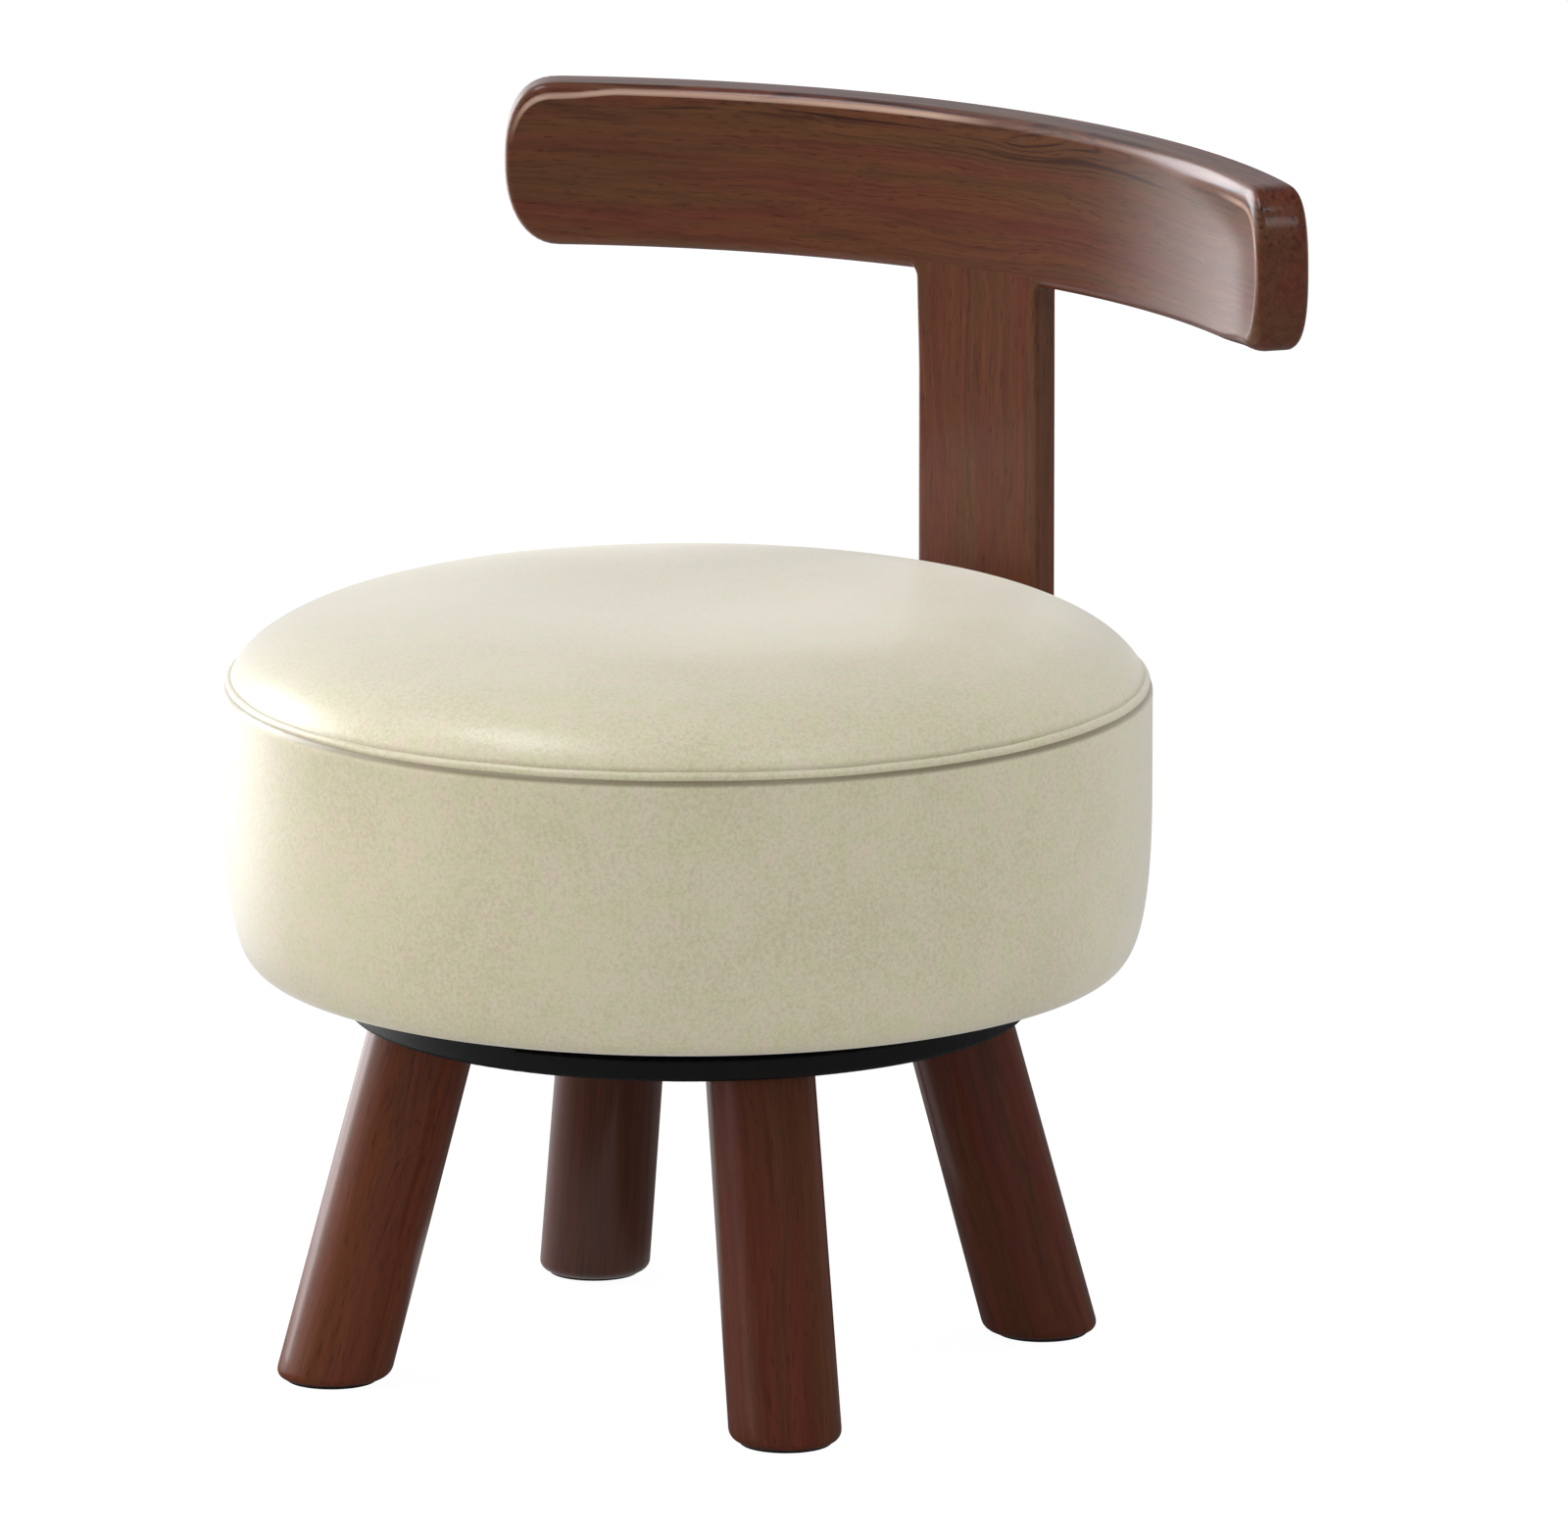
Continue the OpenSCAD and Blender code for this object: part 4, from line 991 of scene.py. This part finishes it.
# %% [markdown]
# ## The cloth under the seat
# A ring of black non-woven cloth closes the underside and hides the frame and the raw edge of the hem. It
# is cut flat, stapled all round and a little slack between the staples. It is a thin closed sheet here,
# and it only ever sags downwards, clear of the board.

# %% Dust cover
CLOTH_T = 0.5 * MM
SAG = 0.5 * MM
STAPLES = 32
CLOTH_COLUMNS = 192
CLOTH_IN = 90.9 * MM
ON_BOARD = np.array([100, 110, 120]) * MM  # rings of points that let the cloth sag between its edges
ON_HEM = 134 * MM
STEP_FROM, STEP_TO = 1.7 * MM, 0.4 * MM  # short of the hem the cloth steps down onto it
cloth_r = (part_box("dust_cover")[1].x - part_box("dust_cover")[0].x) / 2
path = np.array([[radius, board_z] for radius in (CLOTH_IN, *ON_BOARD, hem_r - STEP_FROM)]
                + [[radius, under_z] for radius in (hem_r - STEP_TO, ON_HEM, cloth_r)])
lower = path[::-1] - [0, CLOTH_T]
cloth_grid = revolve(np.vstack([path, lower]), CLOTH_COLUMNS)
spin = np.linspace(0, TURN, CLOTH_COLUMNS, endpoint=False)
slack = (1 - np.cos(STAPLES * spin)) / 2 * (0.6 + 0.4 * np.sin(3 * spin + 0.7))
reach = np.hypot(cloth_grid[..., 0] - AXIS[0], cloth_grid[..., 1] - AXIS[1])
cloth_grid[..., 2] -= SAG * slack * np.clip((reach - CLOTH_IN) / (cloth_r - CLOTH_IN), 0, 1)
cover = surface("stapled_cloth", cloth_grid, wrap_rows=True)
# Fibres melted together at random: matt, with a faint and even grain
CLOTH = grained("nonwoven_polypropylene", ("#121214", "#222226"), 1.1, (0.62, 0.85), 0.25, Sheen_Weight=0.1)
dress(CLOTH, "stapled_cloth")
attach(cover, "seat")
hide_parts("dust_cover")

# %% [markdown]
# ## Finishes of the hidden and the small parts
# The disc, the swivel and the frame keep the shapes of the construction model and get real finishes:
# black paint with the stipple of a roller, bright zinc, polished bearing steel, brass and birch plywood
# with its plies. Each tone varies over a size that the real surface has.

# %% Finishes of the other parts
PLY_MM = 1.5


def birch_plywood(name):
    """Plies alternate by height: a wave with one light and one dark band every two plies."""
    material, tree, shader = finish_of(name, Roughness=0.62)
    place = add(tree, "TexCoord").outputs["Object"]
    plies = add(tree, "TexWave", {"Vector": place, "Scale": 1 / (WAVE_RINGS * 2 * PLY_MM * MM),
                                  "Distortion": 0.3}, bands_direction="Z").outputs["Fac"]
    veneer = add(tree, "Mapping", {"Vector": place, "Scale": (30, 700, 300)})
    streaks = add(tree, "TexNoise", {"Vector": veneer, "Scale": 1.0, "Detail": 3.0}).outputs["Fac"]
    mix = add(tree, "Math", {0: plies, 1: 0.5, 2: streaks}, operation="MULTIPLY_ADD")
    colour = add(tree, "ValToRGB", {"Fac": mix},
                 ramp=[(0.4, "#b98d58"), (0.7, "#d8b788"), (1.0, "#e6cfa6")])
    relief = add(tree, "Bump", {"Height": streaks, "Strength": 0.3, "Distance": 0.1 * MM})
    feed(tree, shader, {"Base Color": colour, "Normal": relief})
    return material


# Satin black paint, rolled on: an even stipple that breaks the gloss
dress(grained("black_painted_board", ("#0d0c0d", "#141314"), 1.4, (0.44, 0.58), 0.05), "base_disc")
dress(ZINC, "bearing_lower_plate", "bearing_upper_plate", "bearing_retainer", "leg_bolts", "leg_washers",
      "lower_screws", "upper_screws", "cover_staples", "post_t_nuts")
# Ground and polished balls: the smoothest metal in the stool
dress(grained("polished_bearing_steel", ("#c3c3c2", "#cdcdcc"), 1.0, (0.07, 0.14), 0.005, Metallic=1.0),
      "bearing_balls")
# Turned and stamped brass, warm and slightly dulled
dress(grained("stamped_brass", ("#b68f47", "#caa85e"), 2.0, (0.22, 0.36), 0.01, Metallic=1.0),
      "leg_inserts", "ball_cage")
dress(birch_plywood("birch_plywood"),
      "seat_board", "seat_hoop", "seat_lid", "backing_block", "spacer_block")
print("finishes:", len(bpy.data.materials))

# %% [markdown]
# ## Floor, light and background
# The floor is pale and runs far back, so that it fills the whole picture behind the stool. The camera sees
# it glow almost white, with a part of its real shading kept for the soft shadow. The lit side of the
# studio is at the left and its dark side at the right, and satin lacquer shows both. So for glossy rays
# the room and the far floor are bright towards the left and fade to dark, and two windows shine brighter
# still. All other rays meet an even and slightly cool sky.

# %% Floor and room
WHITE, SKY, WARM, COOL = "#ffffff", "#f8fbff", "#fff3e4", "#f5f9ff"
FLOOR_SIZE = 60.0
FLOOR_GLOW = 0.86
FLOOR_WHITE = 1.12  # the glow and the floor's own shade mix to 1
HORIZON_GLOW, ZENITH_GLOW = 0.90, 0.53
FLOOR_SIDE, ROOM_SIDE = (-0.97, 0.24, 0.0), (-1.0, -0.10, 0.0)  # towards the lit side of the studio
FLOOR_TURN = (0.75, 1.05)  # from dark to lit, where 1 points straight at the lit side and 0 square to it
ROOM_TURN = (0.20, 1.10)
FLOOR_DARK, FLOOR_NEAR, FLOOR_FAR = 0.08, 0.65, 3.6  # the floor seen in gloss: dark side, lit side
FLOOR_REACH = (0.4, 1.3)  # metres over which the lit side grows from near to far, as the stool shades it
ROOM_SHEEN = (0.06, 1.6)
# Each window: its direction, the degrees from its middle to where it starts and ends to fade, its glow
WINDOWS = ((-0.965, -0.02, 0.26, 12, 20, 6.5), (0.753, -0.293, 0.588, 5, 10, 3.0))


def room_glow(tree, direction, side, start, end, plain, dark, white):
    """Brightness by kind of ray: 1 to the camera and through clear things, from dark to white by how far
    the direction points at the lit side to glossy ones, and plain to the rest."""
    ray = add(tree, "LightPath").outputs
    toward = add(tree, "VectorMath", {0: direction, 1: side}, operation="DOT_PRODUCT")
    facing = add(tree, "MapRange", {"Value": toward, "From Min": start, "From Max": end,
                                    "To Min": dark, "To Max": white}, interpolation_type="SMOOTHSTEP")
    glossy = add(tree, "Mix", {0: ray["Is Glossy Ray"], 2: plain, 3: facing})
    seen = add(tree, "Math", {0: ray["Is Camera Ray"], 1: ray["Is Transmission Ray"]}, operation="MAXIMUM")
    return add(tree, "Mix", {0: seen, 2: glossy, 3: 1.0})


floor_mesh = bpy.data.meshes.new("floor")
half = FLOOR_SIZE / 2
floor_mesh.from_pydata([(-half, -half, 0), (half, -half, 0), (half, half, 0), (-half, half, 0)], [],
                       [(0, 1, 2, 3)])
floor = bpy.data.objects.new("floor", floor_mesh)
bpy.context.scene.collection.objects.link(floor)
pale_floor = bpy.data.materials.new("pale_floor")
pale_floor.use_nodes = True
tree = pale_floor.node_tree
tree.nodes.clear()
ray = add(tree, "LightPath").outputs
matte = add(tree, "BsdfDiffuse", {"Color": linear("#dddcda")})
place = add(tree, "TexCoord").outputs["Object"]
bearing = add(tree, "VectorMath", {0: place}, operation="NORMALIZE")
away = add(tree, "VectorMath", {0: place}, operation="LENGTH")
lit = add(tree, "MapRange", {"Value": away, "From Min": FLOOR_REACH[0], "From Max": FLOOR_REACH[1],
                             "To Min": FLOOR_NEAR, "To Max": FLOOR_FAR})
bright = add(tree, "Math", {0: room_glow(tree, bearing, FLOOR_SIDE, *FLOOR_TURN, 0.0, FLOOR_DARK, lit),
                            1: FLOOR_WHITE}, operation="MULTIPLY")
glow = add(tree, "Emission", {"Color": linear(WHITE), "Strength": bright})
# Diffuse rays meet the plain floor, so that its glow lights nothing
own = add(tree, "Math", {0: 1.0, 1: ray["Is Diffuse Ray"]}, operation="SUBTRACT")
share = add(tree, "Math", {0: own, 1: FLOOR_GLOW}, operation="MULTIPLY")
mixed = add(tree, "MixShader", {0: share, 1: matte, 2: glow})
add(tree, "OutputMaterial", {"Surface": mixed})
floor_mesh.materials.append(pale_floor)

room = bpy.data.worlds.new("white_room")
room.use_nodes = True
bpy.context.scene.world = room
tree = room.node_tree
tree.nodes.clear()
direction = add(tree, "TexCoord").outputs["Generated"]
height = add(tree, "SeparateXYZ", {"Vector": direction}).outputs["Z"]
sky = add(tree, "MapRange", {"Value": height, "To Min": HORIZON_GLOW, "To Max": ZENITH_GLOW})
lit = room_glow(tree, direction, ROOM_SIDE, *ROOM_TURN, sky, *ROOM_SHEEN)
ray = add(tree, "LightPath").outputs
for *way, inner, outer, strength in WINDOWS:
    toward = add(tree, "VectorMath", {0: direction, 1: way}, operation="DOT_PRODUCT")
    seen = add(tree, "MapRange", {"Value": toward, "From Min": np.cos(np.radians(outer)),
                                  "From Max": np.cos(np.radians(inner)), "To Max": strength},
               interpolation_type="SMOOTHSTEP")
    lit = add(tree, "Math", {0: seen, 1: ray["Is Glossy Ray"], 2: lit}, operation="MULTIPLY_ADD")
tint = add(tree, "Mix", {0: ray["Is Camera Ray"], 6: linear(SKY), 7: linear(WHITE)}, data_type="RGBA")
glow = add(tree, "Background", {"Color": tint, "Strength": lit})
add(tree, "OutputWorld", {"Surface": glow})
print("floor", FLOOR_SIZE, "m wide, room with", len(WINDOWS), "windows")

# %% [markdown]
# ## Softboxes
# The key lamps stand high above and at the left, and a small one overhead. Two fills act as bounce cards:
# they light the matt part of each surface alone. If gloss showed them too, the pale leather would clip to
# white wherever it mirrors one of them at a shallow angle, as it does from the sides.

# %% Softboxes
LAMP_DISTANCE = 2.2


def softbox(name, direction, size, watts, tint=WHITE, in_gloss=True):
    """A rectangular area lamp that looks at the seat from a direction, given as a vector. Where in_gloss
    is False, no gloss shows it."""
    lamp = bpy.data.lights.new(name, "AREA")
    lamp.shape = "RECTANGLE"
    lamp.size, lamp.size_y = size
    lamp.energy = watts
    lamp.color = linear(tint)[:3]
    holder = bpy.data.objects.new(name, lamp)
    way = Vector(direction).normalized()
    holder.location = Vector((0, 0, seam_z)) + LAMP_DISTANCE * way
    holder.rotation_euler = way.to_track_quat("Z", "Y").to_euler()
    holder.visible_glossy = in_gloss
    bpy.context.scene.collection.objects.link(holder)


softbox("key_high", (-0.30, -0.31, 0.90), (1.0, 0.5), 10.8, COOL)
softbox("key_left", (-0.965, -0.02, 0.26), (1.0, 1.2), 3.8, COOL)
softbox("overhead", (0.46, -0.10, 0.88), (0.4, 0.3), 2)
softbox("fill_right", (0.25, 0.96, 0.16), (1.2, 0.7), 10, in_gloss=False)
softbox("fill_front_left", (-0.80, -0.58, 0.27), (1.4, 1.4), 11.5, WARM, in_gloss=False)
print("lamps:", len(bpy.data.lights))

# %% [markdown]
# ## The picture's colours
# The last line sets the picture's colours to plain.

# %% Finish
bpy.context.scene.view_settings.view_transform = "Standard"
